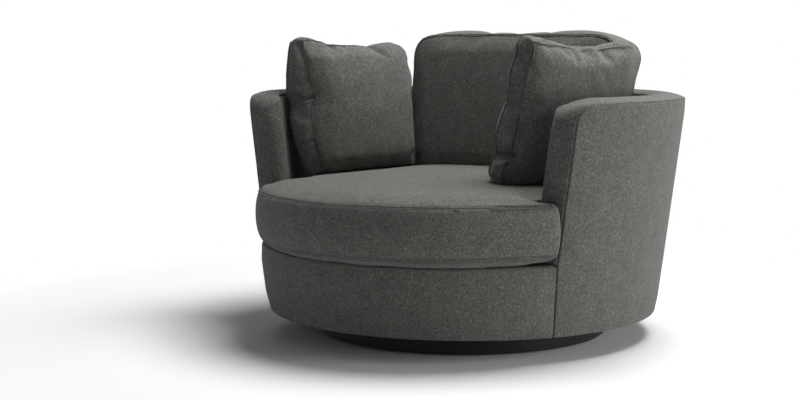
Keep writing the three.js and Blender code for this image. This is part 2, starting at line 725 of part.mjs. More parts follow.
// The seat cushion's outline at one height: an elliptical front, wings before the arms, a neck
// between them and a round back that follows the inside of the wall.
function seatOutline(z) {
  const backRadius = innerRadius(z) - seatClearance;
  const wingY = -armFront - wingClearance;
  const wingX = (y) => seatHalfWidth * Math.sqrt(1 - (y / seatReach) ** 2);
  const frontStartY = wingY - wingCorner;
  const half = [];
  const frontEnd = Math.asin(-frontStartY / seatReach);
  const frontSteps = 10;
  for (let i = 0; i < frontSteps; i += 1) {
    const angle = Math.PI / 2 - (Math.PI / 2 - frontEnd) * i / frontSteps;
    half.push(new THREE.Vector2(seatHalfWidth * Math.cos(angle), -seatReach * Math.sin(angle)));
  }
  const outerBend = new THREE.QuadraticBezierCurve(
    new THREE.Vector2(wingX(frontStartY), frontStartY),
    new THREE.Vector2(wingX(wingY), wingY),
    new THREE.Vector2(wingX(wingY) - wingCorner, wingY),
  );
  const neckEndY = wingY + neckCorner;
  const neckX = Math.sqrt(backRadius ** 2 - wingY ** 2);
  const innerBend = new THREE.QuadraticBezierCurve(
    new THREE.Vector2(neckX + neckCorner, wingY),
    new THREE.Vector2(neckX, wingY),
    new THREE.Vector2(Math.sqrt(backRadius ** 2 - neckEndY ** 2), neckEndY),
  );
  half.push(...outerBend.getPoints(3), ...innerBend.getPoints(2));
  const backStart = Math.asin(neckEndY / backRadius);
  const backSteps = 12;
  for (let i = 1; i <= backSteps; i += 1) {
    const angle = backStart + (Math.PI / 2 - backStart) * i / backSteps;
    half.push(new THREE.Vector2(backRadius * Math.cos(angle), backRadius * Math.sin(angle)));
  }
  const mirrored = half.slice(1, -1).reverse().map((point) => new THREE.Vector2(-point.x, point.y));
  const outline = [...half, ...mirrored];
  for (const point of outline) if (point.y < wingY + seamGap) point.x += seatShift;
  return outline;
}

// The ellipse that the outline closes in on towards the middle of the crown.
function seatCore(outline) {
  const lengths = [0];
  outline.forEach((point, i) => {
    lengths.push(lengths[i] + point.distanceTo(outline[(i + 1) % outline.length]));
  });
  const total = lengths[outline.length];
  const radius = seatHalfWidth * seatCoreShare;
  return outline.map((_, i) => {
    const angle = -Math.PI / 2 + 2 * Math.PI * lengths[i] / total;
    return new THREE.Vector2(radius * Math.cos(angle), seatCentreY + radius * Math.sin(angle));
  });
}

function seatCushion() {
  const bottom = deckHeight + seamGap;
  const core = seatCore(seatOutline(seatTopSeam));
  const middle = (seatBottomSeam + seatTopSeam) / 2;
  const ringAt = (level, share, z, backShare = share) => seatOutline(level).map((point, i) => {
    const inward = point.clone().lerp(core[i], point.y < -armFront ? share : backShare);
    return new THREE.Vector3(inward.x, inward.y, z);
  });
  const rings = [
    ringAt(bottom, 1, bottom),
    ringAt(bottom, undersideFlatShare, bottom),
    ringAt(bottom, undersideEdgeShare, bottom + seatUndersideRise),
    ringAt(seatBottomSeam, 0, seatBottomSeam),
    ringAt(middle, -seatBulgeShare, middle, -seatBackBulgeShare),
    ringAt(seatTopSeam, 0, seatTopSeam),
  ];
  for (const share of crownShares) {
    const z = seatTopSeam + seatCrown * (1 - (1 - share) ** seatCrownPower);
    rings.push(ringAt(seatTopSeam, share, z));
  }
  const betweenArms = revolve([
    [0, deckHeight],
    [innerRadius(deckHeight) - wingClearance, deckHeight],
    [innerRadius(rimHeight) - wingClearance, rimHeight],
    [0, rimHeight],
  ]);
  return toSolid(skin(rings)).intersect(beforeArmFronts(wingClearance).add(betweenArms));
}

// A boxed cushion that stands in the XZ plane and faces -Y, with its centre at the origin.
function boxedCushion({ width, height, boxing, crown, rearCrown, cornerPower, drawIn, sides }) {
  const outline = Array.from({ length: sides }, (_, i) => {
    const angle = 2 * Math.PI * (i + 0.5) / sides;
    const along = (value) => Math.sign(value) * Math.abs(value) ** (2 / cornerPower);
    const u = along(Math.cos(angle));
    const v = along(Math.sin(angle));
    return [u * (width / 2 - drawIn * (1 - v * v)), v * (height / 2 - drawIn * (1 - u * u))];
  });
  const swell = (share) => 1 - share ** facePower;
  const levels = faceShares.map((share) => [share, -boxing / 2 - crown * swell(share)]);
  levels.push([1 + bulgeShare, 0]);
  for (const share of [...faceShares].reverse()) levels.push([share, boxing / 2 + rearCrown * swell(share)]);
  const rings = levels.map(([share, depth]) => (
    outline.map(([x, z]) => new THREE.Vector3(share * x, -share * z, depth))));
  return skin(rings).rotateX(Math.PI / 2).rotateX(Math.PI);
}

function buildCushions() {
  const seat = seatCushion();
  place(turningGroup, 'seat_cushion', toGeometry(seat), materials.fabric);
  const seatClear = seat.translate([0, 0, 2 * seamGap]);

  const lean = THREE.MathUtils.degToRad(wallLean + backLeanPastWall);
  const backFront = rimRadius - backFaceInset;
  const backRear = backFront + backBoxing * Math.cos(lean);
  const back = boxedCushion({
    width: 2 * (Math.sqrt(innerRadius(rimHeight) ** 2 - backRear ** 2) - backSideClearance),
    height: backHeight,
    boxing: backBoxing,
    crown: backCrown,
    rearCrown: backRearCrown,
    cornerPower: backCornerPower,
    drawIn: backDrawIn,
    sides: 36,
  });
  const backPlace = new THREE.Matrix4()
    .makeTranslation(backShift, backFront, seatTopSeam + backRise)
    .multiply(new THREE.Matrix4().makeRotationX(-lean))
    .multiply(new THREE.Matrix4().makeTranslation(0, backBoxing / 2, -backHeight / 2));
  const backSolid = toSolid(back.applyMatrix4(backPlace)).subtract(seatClear);
  place(turningGroup, 'back_cushion', toGeometry(backSolid), materials.fabric);

  buildThrow('left', -1, leftThrowInset, leftThrowRise, 0, seatClear);
  buildThrow('right', 1, rightThrowInset, rightThrowRise, rightThrowRoll, seatClear);
}

function buildThrow(name, side, inset, rise, roll, seatClear) {
  const cushion = boxedCushion({
    width: throwWidth,
    height: throwHeight,
    boxing: throwBoxing,
    crown: throwCrown,
    rearCrown: throwCrown,
    cornerPower: throwCornerPower,
    drawIn: throwDrawIn,
    sides: 32,
  });
  const radians = THREE.MathUtils.degToRad;
  const level = seatTopSeam + rise;
  const wallX = Math.sqrt(innerRadius(level) ** 2 - throwForward ** 2);
  const placed = new THREE.Matrix4().makeTranslation(side * (wallX - inset), -throwForward, level)
    .multiply(new THREE.Matrix4().makeRotationZ(radians(90 - throwTurn)))
    .multiply(new THREE.Matrix4().makeRotationX(radians(side * (wallLean + throwLeanPastWall))))
    .multiply(new THREE.Matrix4().makeRotationY(radians(roll)));
  const solid = toSolid(cushion.applyMatrix4(placed)).subtract(seatClear);
  place(turningGroup, `throw_cushion_${name}`, toGeometry(solid), materials.fabric);
}

buildPlinth();
buildSwivel();
buildFrame();
buildSprings();
buildCover();
buildCushions();

export default chair;
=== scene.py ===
import json
import math

import bpy
import numpy as np
from mathutils import Matrix, Vector, noise
from mathutils.bvhtree import BVHTree
from mathutils.kdtree import KDTree


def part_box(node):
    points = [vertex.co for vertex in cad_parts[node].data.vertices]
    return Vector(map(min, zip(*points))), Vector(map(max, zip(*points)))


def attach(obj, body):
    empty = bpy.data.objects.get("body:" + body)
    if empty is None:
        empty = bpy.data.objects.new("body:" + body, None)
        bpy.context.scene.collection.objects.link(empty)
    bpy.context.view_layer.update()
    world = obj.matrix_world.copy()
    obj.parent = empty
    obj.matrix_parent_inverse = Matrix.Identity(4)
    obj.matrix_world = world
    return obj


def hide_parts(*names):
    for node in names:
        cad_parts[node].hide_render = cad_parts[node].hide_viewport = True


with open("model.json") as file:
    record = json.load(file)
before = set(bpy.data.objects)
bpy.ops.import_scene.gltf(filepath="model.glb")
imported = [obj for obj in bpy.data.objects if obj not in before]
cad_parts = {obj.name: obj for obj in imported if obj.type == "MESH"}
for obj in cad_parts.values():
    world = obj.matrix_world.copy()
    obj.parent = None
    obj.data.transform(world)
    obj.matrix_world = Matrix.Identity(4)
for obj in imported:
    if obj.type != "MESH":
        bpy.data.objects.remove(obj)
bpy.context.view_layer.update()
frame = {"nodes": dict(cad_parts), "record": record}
nodes = frame["nodes"]


# General helpers

def makeActive(piece):
    bpy.ops.object.select_all(action="DESELECT")
    piece.select_set(True)
    bpy.context.view_layer.objects.active = piece


def applyModifier(piece, kind, **settings):
    makeActive(piece)
    modifier = piece.modifiers.new(kind.title(), kind)
    for key, value in settings.items():
        setattr(modifier, key, value)
    bpy.ops.object.modifier_apply(modifier=modifier.name)


def added(name):
    piece = bpy.context.object
    piece.name = name
    return piece


def setMode(mode):
    bpy.ops.object.mode_set(mode=mode)


def editWhole(piece, step):
    # runs a step in edit mode with the whole mesh selected
    makeActive(piece)
    setMode("EDIT")
    bpy.ops.mesh.select_all(action="SELECT")
    step()
    setMode("OBJECT")


def faceOutward(piece):
    editWhole(piece, lambda: bpy.ops.mesh.normals_make_consistent(inside=False))


def smooth(share):
    # eases from 0 to 1
    share = np.clip(share, 0, 1)
    return share * share * (3 - 2 * share)


def bell(distance, width):
    return np.exp(-(distance / width) ** 2)


def pieceOf(name, mesh):
    piece = bpy.data.objects.new(name, mesh)
    bpy.context.scene.collection.objects.link(piece)
    return piece


def cornersOf(piece):
    corners = np.empty(len(piece.data.vertices) * 3)
    piece.data.vertices.foreach_get("co", corners)
    return corners.reshape(-1, 3)


def normalsOf(piece):
    normals = np.empty(len(piece.data.vertices) * 3, dtype=np.float32)
    piece.data.vertex_normals.foreach_get("vector", normals)
    return normals.reshape(-1, 3).astype(float)


def moveCorners(piece, corners):
    piece.data.vertices.foreach_set("co", np.ascontiguousarray(corners).ravel())
    piece.data.update()


def swell(piece, amounts):
    moveCorners(piece, cornersOf(piece) + normalsOf(piece) * amounts[:, None])


def treeOf(points):
    tree = KDTree(len(points))
    for index, point in enumerate(points):
        tree.insert(point, index)
    tree.balance()
    return tree


def distancesTo(tree, corners):
    return np.array([tree.find(corner)[2] for corner in corners])


def noiseAt(corners, pace, seed=0):
    return np.array([noise.noise(Vector(corner) * pace + Vector((seed, 0, 0))) for corner in corners])


def turn(degrees, axis):
    return Matrix.Rotation(math.radians(degrees), 4, axis)


def finishPiece(piece, slotName, body, replaced):
    piece.data.materials.clear()
    piece.data.materials.append(finishes[slotName])
    piece.data.shade_smooth()
    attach(piece, body)
    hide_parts(replaced)


# The barrel's own measures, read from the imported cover

ringHeight = 0.001  # holds one ring of corners
panelLow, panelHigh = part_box("outside_panel")
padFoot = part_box("inside_back_pad")[0].z
barrel = {
    "hem": panelLow.z,
    "hemRise": 0.005,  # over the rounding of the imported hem
    "rim": panelHigh.z,
    "deck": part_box("front_apron")[1].z,
    "armFront": -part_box("top_and_arm_band")[0].y,
    "noseRadius": 0.050,  # round top corner of an arm, seen from the side
    "facets": 60,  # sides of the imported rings
}


def radiiAt(node, low, high):
    return [math.hypot(v.co.x, v.co.y) for v in nodes[node].data.vertices if low <= v.co.z <= high]


lowLevel = barrel["hem"] + barrel["hemRise"]
lowRadius = max(radiiAt("outside_panel", barrel["hem"], lowLevel + ringHeight))
highRadius = max(radiiAt("outside_panel", barrel["rim"] - ringHeight, barrel["rim"]))
flare = (highRadius - lowRadius) / (barrel["rim"] - lowLevel)
seamFoot = -min(v.co.y for v in nodes["outside_panel"].data.vertices if v.co.z < barrel["hem"] + ringHeight)


def outerRadius(z):
    return lowRadius + flare * (z - lowLevel)


wall = outerRadius(padFoot) - min(radiiAt("inside_back_pad", padFoot, padFoot + ringHeight))


def innerRadius(z):
    return outerRadius(z) - wall


def seamLine(z):
    # how far forward of the axis the arm seam lies at a height
    nose = barrel["noseRadius"]
    if z <= barrel["deck"]:
        share = (z - barrel["hem"]) / (barrel["deck"] - barrel["hem"])
        return seamFoot + (barrel["armFront"] - seamFoot) * share
    rise = max(0, z - (barrel["rim"] - nose))
    return barrel["armFront"] - nose + math.sqrt(max(0, nose * nose - rise * rise))


# Shader nodes. A source is a number, a colour or an output of another node.

def feed(tree, socket, source):
    if isinstance(source, (int, float)):
        socket.default_value = source
    elif isinstance(source, tuple):
        socket.default_value = (*source, 1)[:len(socket.default_value)]
    else:
        tree.links.new(source, socket)


def newNode(tree, kind, sources, **settings):
    node = tree.nodes.new("ShaderNode" + kind)
    for key, value in settings.items():
        setattr(node, key, value)
    for label, source in sources.items():
        feed(tree, node.inputs[label], source)
    return node.outputs


def mathNode(tree, operation, *sources):
    return newNode(tree, "Math", dict(enumerate(sources)), operation=operation)[0]


def times(tree, first, second):
    return mathNode(tree, "MULTIPLY", first, second)


def plus(tree, first, second):
    return mathNode(tree, "ADD", first, second)


def noiseNode(tree, vector, scale, detail=2, roughness=0.5):
    sources = {"Vector": vector, "Scale": scale, "Detail": detail, "Roughness": roughness}
    return newNode(tree, "TexNoise", sources)["Fac"]


def rangeNode(tree, value, low, high, toLow=0, toHigh=1):
    sources = {"Value": value, "From Min": low, "From Max": high, "To Min": toLow, "To Max": toHigh}
    return newNode(tree, "MapRange", sources)["Result"]


def mixColor(tree, share, first, second, blend="MIX"):
    return newNode(tree, "Mix", {0: share, 6: first, 7: second}, data_type="RGBA", blend_type=blend)[2]


def greyNode(tree, value):
    return newNode(tree, "CombineColor", dict.fromkeys(("Red", "Green", "Blue"), value))[0]


def seenNode(tree):
    # 1 for rays that the camera sees, mirrored or through glass too
    rays = newNode(tree, "LightPath", {})
    seen = mathNode(tree, "MAXIMUM", rays["Is Camera Ray"], rays["Is Glossy Ray"])
    return mathNode(tree, "MAXIMUM", seen, rays["Is Transmission Ray"])


def newGroup(name, vector, numbers, masks):
    group = bpy.data.node_groups.new(name, "ShaderNodeTree")
    sockets = [("INPUT", "Vector", vector)] + [("INPUT", "Float", label) for label in numbers]
    sockets += [("OUTPUT", "Float", label) for label in masks]
    for way, kind, label in sockets:
        group.interface.new_socket(name=label, in_out=way, socket_type="NodeSocket" + kind)
    given = group.nodes.new("NodeGroupInput").outputs
    return group, given, group.nodes.new("NodeGroupOutput").inputs


def weaveGroup():
    # crossing threads of uneven thickness on the cloth's own coordinates
    group, given, result = newGroup("threadWeave", "Cloth", ("Threads", "Unevenness"), ("Height", "Gap"))
    sources = {0: given["Cloth"], "Scale": given["Threads"]}
    scaled = newNode(group, "VectorMath", sources, operation="SCALE")[0]
    slub = noiseNode(group, scaled, 0.35)
    shift = times(group, slub, given["Unevenness"])
    parts = newNode(group, "SeparateXYZ", {0: scaled})
    waves = []
    for axis in ("X", "Y"):
        along = plus(group, parts[axis], times(group, shift, 4.0))
        wave = mathNode(group, "SINE", times(group, along, math.pi))
        waves.append(mathNode(group, "ABSOLUTE", wave))
    crossing = times(group, *waves)
    height = mathNode(group, "POWER", crossing, 0.6)
    feed(group, result["Height"], times(group, height, rangeNode(group, slub, 0.3, 0.7, 0.6, 1.0)))
    feed(group, result["Gap"], rangeNode(group, crossing, 0.0, 0.25, 1.0, 0.0))
    return group


def blotchGroup():
    # slow and fast changes of tone, for dye, dust and wear
    group, given, result = newGroup("blotches", "Place", ("Coarse", "Fine"), ("Tone", "Speck"))
    coarse = noiseNode(group, given["Place"], given["Coarse"], 3)
    fine = noiseNode(group, given["Place"], given["Fine"])
    tone = plus(group, times(group, coarse, 0.65), times(group, fine, 0.35))
    feed(group, result["Tone"], rangeNode(group, tone, 0.3, 0.7))
    feed(group, result["Speck"], rangeNode(group, fine, 0.6, 0.72))
    return group


def grainGroup():
    # long wood grain along X with fine pores
    group, given, result = newGroup("woodGrain", "Place", ("Rings",), ("Grain", "Pores"))
    stretched = newNode(group, "Mapping", {"Vector": given["Place"], "Scale": (0.12, 1, 1)})[0]
    sources = {"Vector": stretched, "Scale": given["Rings"]}
    sources |= {"Distortion": 5, "Detail": 3, "Detail Scale": 1.4}
    feed(group, result["Grain"], newNode(group, "TexWave", sources, bands_direction="DIAGONAL")["Fac"])
    feed(group, result["Pores"], rangeNode(group, noiseNode(group, stretched, 900, 3, 0.6), 0.45, 0.65))
    return group


groups = {"weave": weaveGroup(), "blotches": blotchGroup(), "grain": grainGroup()}


# Materials

def newMaterial(name):
    material = bpy.data.materials.new(name)
    material.use_nodes = True
    tree = material.node_tree
    return material, tree, tree.nodes["Principled BSDF"], newNode(tree, "TexCoord", {})["Object"]


def useGroup(tree, name, **sources):
    return dict(newNode(tree, "Group", sources, node_tree=groups[name]).items())


def fillShader(tree, shader, look, base, rough, height):
    depth, strength = look["bump"]
    bump = newNode(tree, "Bump", {"Height": height, "Distance": depth, "Strength": strength})[0]
    sources = {"Base Color": base, "Roughness": rough, "Normal": bump, **look.get("shader", {})}
    for label, source in sources.items():
        feed(tree, shader.inputs[label], source)


cloth = {
    "dark": (0.078, 0.079, 0.072),
    "middle": (0.182, 0.183, 0.168),
    "light": (0.37, 0.37, 0.345),
    # colour of the painted shade in the seam grooves and along the stitched lines
    "paintedSeamShadow": (0.030, 0.030, 0.028),
    "threads": 720,  # per metre
    "unevenness": 0.35,
    "heather": (150, 0.76, 1.24),  # patches per metre, darkest and lightest
    "dye": (22, 170, 0.84, 1.14),
    "yarn": 420,
    "fuzz": 1300,
    "fleckShare": 0.75, "gapShade": 0.35, "grooveShade": 0.85,
    "shader": {"Specular IOR Level": 0.25, "Sheen Weight": 0.12, "Sheen Roughness": 0.5},
    "relief": (0.55, 0.9, 0.35),  # of threads, yarn and fuzz
    "bump": (0.0007, 0.8),  # depth and strength
}


def clothMaterial():
    material, tree, shader, place = newMaterial("charcoalCloth")
    layer = newNode(tree, "UVMap", {}, uv_map="cloth")[0]
    threads = useGroup(tree, "weave", Cloth=layer, Threads=cloth["threads"], Unevenness=cloth["unevenness"])
    coarse, fine, dyeLow, dyeHigh = cloth["dye"]
    dye = useGroup(tree, "blotches", Place=place, Coarse=coarse, Fine=fine)
    yarn = noiseNode(tree, place, cloth["yarn"], 3, 0.65)
    fuzz = noiseNode(tree, place, cloth["fuzz"], 2, 0.6)
    base = mixColor(tree, rangeNode(tree, yarn, 0.38, 0.62), cloth["dark"], cloth["middle"])
    patches, heatherLow, heatherHigh = cloth["heather"]
    heather = rangeNode(tree, noiseNode(tree, place, patches), 0.32, 0.68, heatherLow, heatherHigh)
    tone = times(tree, rangeNode(tree, dye["Tone"], 0, 1, dyeLow, dyeHigh), heather)
    base = mixColor(tree, 1.0, base, greyNode(tree, tone), "MULTIPLY")
    fleck = times(tree, dye["Speck"], rangeNode(tree, yarn, 0.4, 0.6))
    # painted shade: the cloth darkens towards the groove colour along the seams and stitched lines, by the
    # seam attribute
    seam = newNode(tree, "Attribute", {}, attribute_name="paintedSeamShade")["Fac"]
    for mask, share, color in ((fleck, "fleckShare", "light"), (threads["Gap"], "gapShade", "dark"),
                               (seam, "grooveShade", "paintedSeamShadow")):
        base = mixColor(tree, times(tree, mask, cloth[share]), base, cloth[color])
    masks = (threads["Height"], yarn, fuzz)
    first, second, third = (times(tree, mask, share) for mask, share in zip(masks, cloth["relief"]))
    height = plus(tree, plus(tree, first, second), third)
    fillShader(tree, shader, cloth, base, rangeNode(tree, fuzz, 0.3, 0.7, 0.84, 1.0), height)
    return material


# per finish: a weave (threads per metre, unevenness) or wood rings, coarse and fine blotches,
# the mask between two colours, more masks with their share and colour, the mask of the
# roughness with its range, the mask of the relief, and the bump's depth and strength
looks = {
    "dark_lining": {
        "name": "blackLining", "weave": (1400, 0.2), "blotches": (9, 140),
        "base": ("Gap", (0.016, 0.016, 0.016), (0.005, 0.005, 0.005)),
        "over": [("Tone", 0.25, (0.05, 0.047, 0.043))],
        "rough": ("Tone", 0.9, 1.0), "relief": "Height", "bump": (0.0003, 0.7),
    },
    "webbing": {
        "name": "juteWebbing", "weave": (420, 0.4), "blotches": (30, 300),
        "base": ("Tone", (0.19, 0.14, 0.08), (0.31, 0.24, 0.15)),
        "over": [("Gap", 0.7, (0.06, 0.04, 0.02))],
        "rough": ("Tone", 0.8, 1.0), "relief": "Height", "bump": (0.0008, 0.9),
    },
    "black_plinth": {
        "name": "blackPlinthStain", "rings": 40, "blotches": (11, 160),
        "shader": {"Specular IOR Level": 0.22},
        "base": ("Grain", (0.0075, 0.0073, 0.007), (0.013, 0.0125, 0.012)),
        "over": [("Tone", 0.16, (0.055, 0.052, 0.048))],
        "rough": ("Tone", 0.52, 0.72), "relief": "Pores", "bump": (0.0002, 0.5),
    },
    "frame_timber": {
        "name": "sandedTimber", "rings": 26, "blotches": (7, 90),
        "base": ("Grain", (0.52, 0.34, 0.17), (0.34, 0.20, 0.085)),
        "over": [("Pores", 0.45, (0.17, 0.09, 0.035)), ("Tone", 0.22, (0.40, 0.34, 0.27))],
        "rough": ("Grain", 0.52, 0.72), "relief": "Pores", "bump": (0.0003, 0.6),
    },
    "bright_steel": {
        "name": "zincSteel", "blotches": (45, 500), "shader": {"Metallic": 1.0},
        "base": ("Tone", (0.42, 0.43, 0.45), (0.60, 0.60, 0.62)),
        "over": [("Speck", 0.3, (0.25, 0.24, 0.22))],
        "rough": ("Tone", 0.28, 0.48), "relief": "Speck", "bump": (0.0001, 0.4),
    },
    "black_plastic": {
        "name": "mouldedPlastic", "blotches": (60, 1200),
        "base": ("Tone", (0.011, 0.011, 0.012), (0.020, 0.020, 0.021)), "over": [],
        "rough": ("Tone", 0.48, 0.62), "relief": "Speck", "bump": (0.0001, 0.6),
    },
}


def plainMaterial(look):
    material, tree, shader, place = newMaterial(look["name"])
    coarse, fine = look["blotches"]
    masks = useGroup(tree, "blotches", Place=place, Coarse=coarse, Fine=fine)
    if "weave" in look:
        threads, unevenness = look["weave"]
        masks |= useGroup(tree, "weave", Cloth=place, Threads=threads, Unevenness=unevenness)
    if "rings" in look:
        masks |= useGroup(tree, "grain", Place=place, Rings=look["rings"])
    mask, first, second = look["base"]
    base = mixColor(tree, masks[mask], first, second)
    for mask, share, color in look["over"]:
        base = mixColor(tree, times(tree, masks[mask], share), base, color)
    mask, low, high = look["rough"]
    rough = rangeNode(tree, masks[mask], 0, 1, low, high)
    fillShader(tree, shader, look, base, rough, masks[look["relief"]])
    return material


def dressPackedNodes():
    slotOf = {name: row["slot"] for row in frame["record"]["materials"] for name in row.get("nodes", [])}
    for name, piece in nodes.items():
        slotName = slotOf.get(name) or piece.material_slots[0].material.name
        piece.material_slots[0].material = finishes[slotName]


# Camera and stage

view = {
    "place": (2.4661, -3.6970, 0.8444),
    "aim": (-0.5851, 0.8042, -0.1048),
    "lens": 68.83,
    "sensor": 36,
}
studio = {
    "floorSize": 40,
    "floorPale": 0.80,
    "floorBright": 1.14,  # for the camera alone, so that the open floor is white
    "floorPatches": (0.7, 0.98, 1.02),  # per metre, darkest and lightest
    "fadeStart": 0.85,  # from here outwards the camera sees plain white
    "fadeEnd": 1.7,
    "ambient": 0.055,
    "aim": (0, 0, 0.35),
    "lamps": {
        # place, size, watts
        "overhead": ((0.5, 0.7, 3.2), 2.4, 118),
        "rightSide": ((3.9, 0.8, 0.80), 2.2, 88),
        "frontFill": ((-0.4, -4.5, 1.6), 2.4, 11),
        "rearFill": ((-3.0, 2.8, 2.2), 2.4, 16),
    },
}


def aimAt(piece, way):
    piece.rotation_euler = Vector(way).to_track_quat("-Z", "Y").to_euler()


def buildCamera():
    bpy.ops.object.camera_add(location=view["place"])
    camera = bpy.context.object
    aimAt(camera, view["aim"])
    camera.data.lens = view["lens"]
    camera.data.sensor_width = view["sensor"]
    bpy.context.scene.camera = camera


def floorMaterial():
    material, tree, shader, place = newMaterial("paleFloor")
    tree.nodes.remove(shader)
    seen = seenNode(tree)
    pale = rangeNode(tree, seen, 0, 1, studio["floorPale"], studio["floorBright"])
    patches, low, high = studio["floorPatches"]
    tone = rangeNode(tree, noiseNode(tree, place, patches), 0, 1, low, high)
    plain = newNode(tree, "BsdfDiffuse", {"Color": greyNode(tree, times(tree, pale, tone))})[0]
    reach = newNode(tree, "VectorMath", {0: place}, operation="LENGTH")["Value"]
    far = rangeNode(tree, reach, studio["fadeStart"], studio["fadeEnd"])
    white = newNode(tree, "Emission", {})[0]
    fade = newNode(tree, "MixShader", {"Fac": times(tree, far, seen), 1: plain, 2: white})[0]
    feed(tree, tree.nodes["Material Output"].inputs["Surface"], fade)
    return material


def buildStage():
    bpy.ops.mesh.primitive_plane_add(size=studio["floorSize"])
    floor = added("floor")
    floor.data.materials.append(floorMaterial())
    for name, (place, size, watts) in studio["lamps"].items():
        bpy.ops.object.light_add(type="AREA", location=place)
        lamp = added(name)
        lamp.data.shape = "DISK"
        lamp.data.size = size
        lamp.data.energy = watts
        aimAt(lamp, Vector(studio["aim"]) - Vector(place))
    world = bpy.data.worlds.new("studio")
    bpy.context.scene.world = world
    world.use_nodes = True
    tree = world.node_tree
    background = tree.nodes["Background"].inputs
    feed(tree, background["Color"], (1, 1, 1))
    feed(tree, background["Strength"], rangeNode(tree, seenNode(tree), 0, 1, studio["ambient"], 1))
    bpy.context.scene.view_settings.view_transform = "Standard"


# Seams of the cover: along the rim, down both arm fronts and round the inside pad

seams = {
    "step": 0.003,
    "leastStep": 0.08,  # share of a step where an arm seam turns level
    "width": 0.0030,  # half width of the valley at a seam
    "depth": 0.0030,
    "shadeWidth": 0.0024,
    "armEase": 0.85,  # seams down the arm fronts are pulled in less
    "armFade": (0.06, 0.03),  # from the rim down and from the deck up
    "legReach": 0.065,  # band round the inside of an arm front
    "padTopDrop": 0.0030,  # pad's top seam under the rim
    "padTopInset": 0.0065,
}


def bothSides(x, y, z):
    return [Vector((x, y, z)), Vector((-x, y, z))]


def arcBehind(radius, end, z):
    count = int(2 * end * radius / seams["step"])
    angles = [-end + 2 * end * i / count for i in range(count + 1)]
    return [Vector((radius * math.sin(angle), radius * math.cos(angle), z)) for angle in angles]


def rimAndArmSeam():
    points = []
    nose = barrel["noseRadius"]
    for low, high in (("hem", "deck"), ("deck", "rim")):
        z = barrel[low]
        while z < barrel[high]:
            y = -seamLine(z)
            points += bothSides(math.sqrt(outerRadius(z) ** 2 - y * y), y, z)
            z += seams["step"] * max(seams["leastStep"], min(1, (barrel["rim"] - z) / nose))
    radius = outerRadius(barrel["rim"])
    return points + arcBehind(radius, math.acos(-(barrel["armFront"] - nose) / radius), barrel["rim"])


def padSeam():
    points = []
    leg = seams["legReach"] - barrel["armFront"]
    top = barrel["rim"] - seams["padTopDrop"]
    z = barrel["deck"]
    while z < top:
        points += bothSides(math.sqrt(innerRadius(z) ** 2 - leg * leg), leg, z)
        z += seams["step"]
    radius = innerRadius(top) + seams["padTopInset"]
    return points + arcBehind(radius, math.acos(leg / radius), top)


def setAttribute(piece, name, values):
    layer = piece.data.attributes.get(name) or piece.data.attributes.new(name, "FLOAT", "POINT")
    layer.data.foreach_set("value", np.asarray(values, dtype=np.float32))


def sinkSeams(piece, tree, depth):
    # draws the cloth in along a seam and stores how deep in the seam each corner lies, which the cloth uses
    # as painted shade in the groove
    corners = cornersOf(piece)
    distance = distancesTo(tree, corners)
    underRim, overDeck = seams["armFade"]
    onArm = np.clip((barrel["rim"] - corners[:, 2]) / underRim, 0, 1)
    onArm *= np.clip((corners[:, 2] - barrel["deck"]) / overDeck, 0, 1)
    pull = 1 - seams["armEase"] * onArm
    swell(piece, -depth * pull * bell(distance, seams["width"]))
    # painted shade along the seam, weaker down the arm fronts
    setAttribute(piece, "paintedSeamShade", pull * bell(distance, seams["shadeWidth"]))


# Outside panel and front apron: cloth strips wrapped round the barrel

def crowd(place, fine):
    # moves a place between -1 and 1 so that the steps are short near both ends
    off = 1 - abs(place)
    return math.copysign(1 - (fine * off + (1 - fine) * off * off), place)


def gradedHeights(low, high, count, fine):
    places = [crowd(2 * i / count - 1, fine) for i in range(count + 1)]
    return [(low + high) / 2 + place * (high - low) / 2 for place in places]


def quarterTurn(radius, steps):
    angles = [math.pi / 2 * i / steps for i in range(steps + 1)]
    return [(radius * math.sin(angle), radius * math.cos(angle)) for angle in angles]


def hemRows(shape):
    # turned-in lip and the round lower edge: how far in from the barrel, and height
    radius, lip, hem = shape["hemRound"], shape["lip"], barrel["hem"]
    bend = quarterTurn(radius, shape["roundSteps"])
    rows = [(across - radius, hem + radius - down) for across, down in bend]
    return [(-lip, hem), (-(lip + radius) / 2, hem)] + rows


def topRows(shape):
    if shape["meetsRim"]:
        return [(0, barrel["rim"])]
    radius, top = shape["topRound"], barrel["deck"]
    bend = quarterTurn(radius, shape["roundSteps"])
    return [(across - radius, top - radius + up) for up, across in bend] + [(-shape["topLip"], top)]


def edgeOf(shape, y, z, edge):
    # distance to the nearest edge of the strip, its foot left out
    if not shape["meetsRim"]:
        return edge
    nose = barrel["noseRadius"]
    noseY, noseZ = nose - barrel["armFront"], barrel["rim"] - nose
    edge = min(edge, barrel["rim"] - z)
    if y < noseY and z > noseZ:
        edge = min(edge, max(0, nose - math.hypot(y - noseY, z - noseZ)))
    return edge


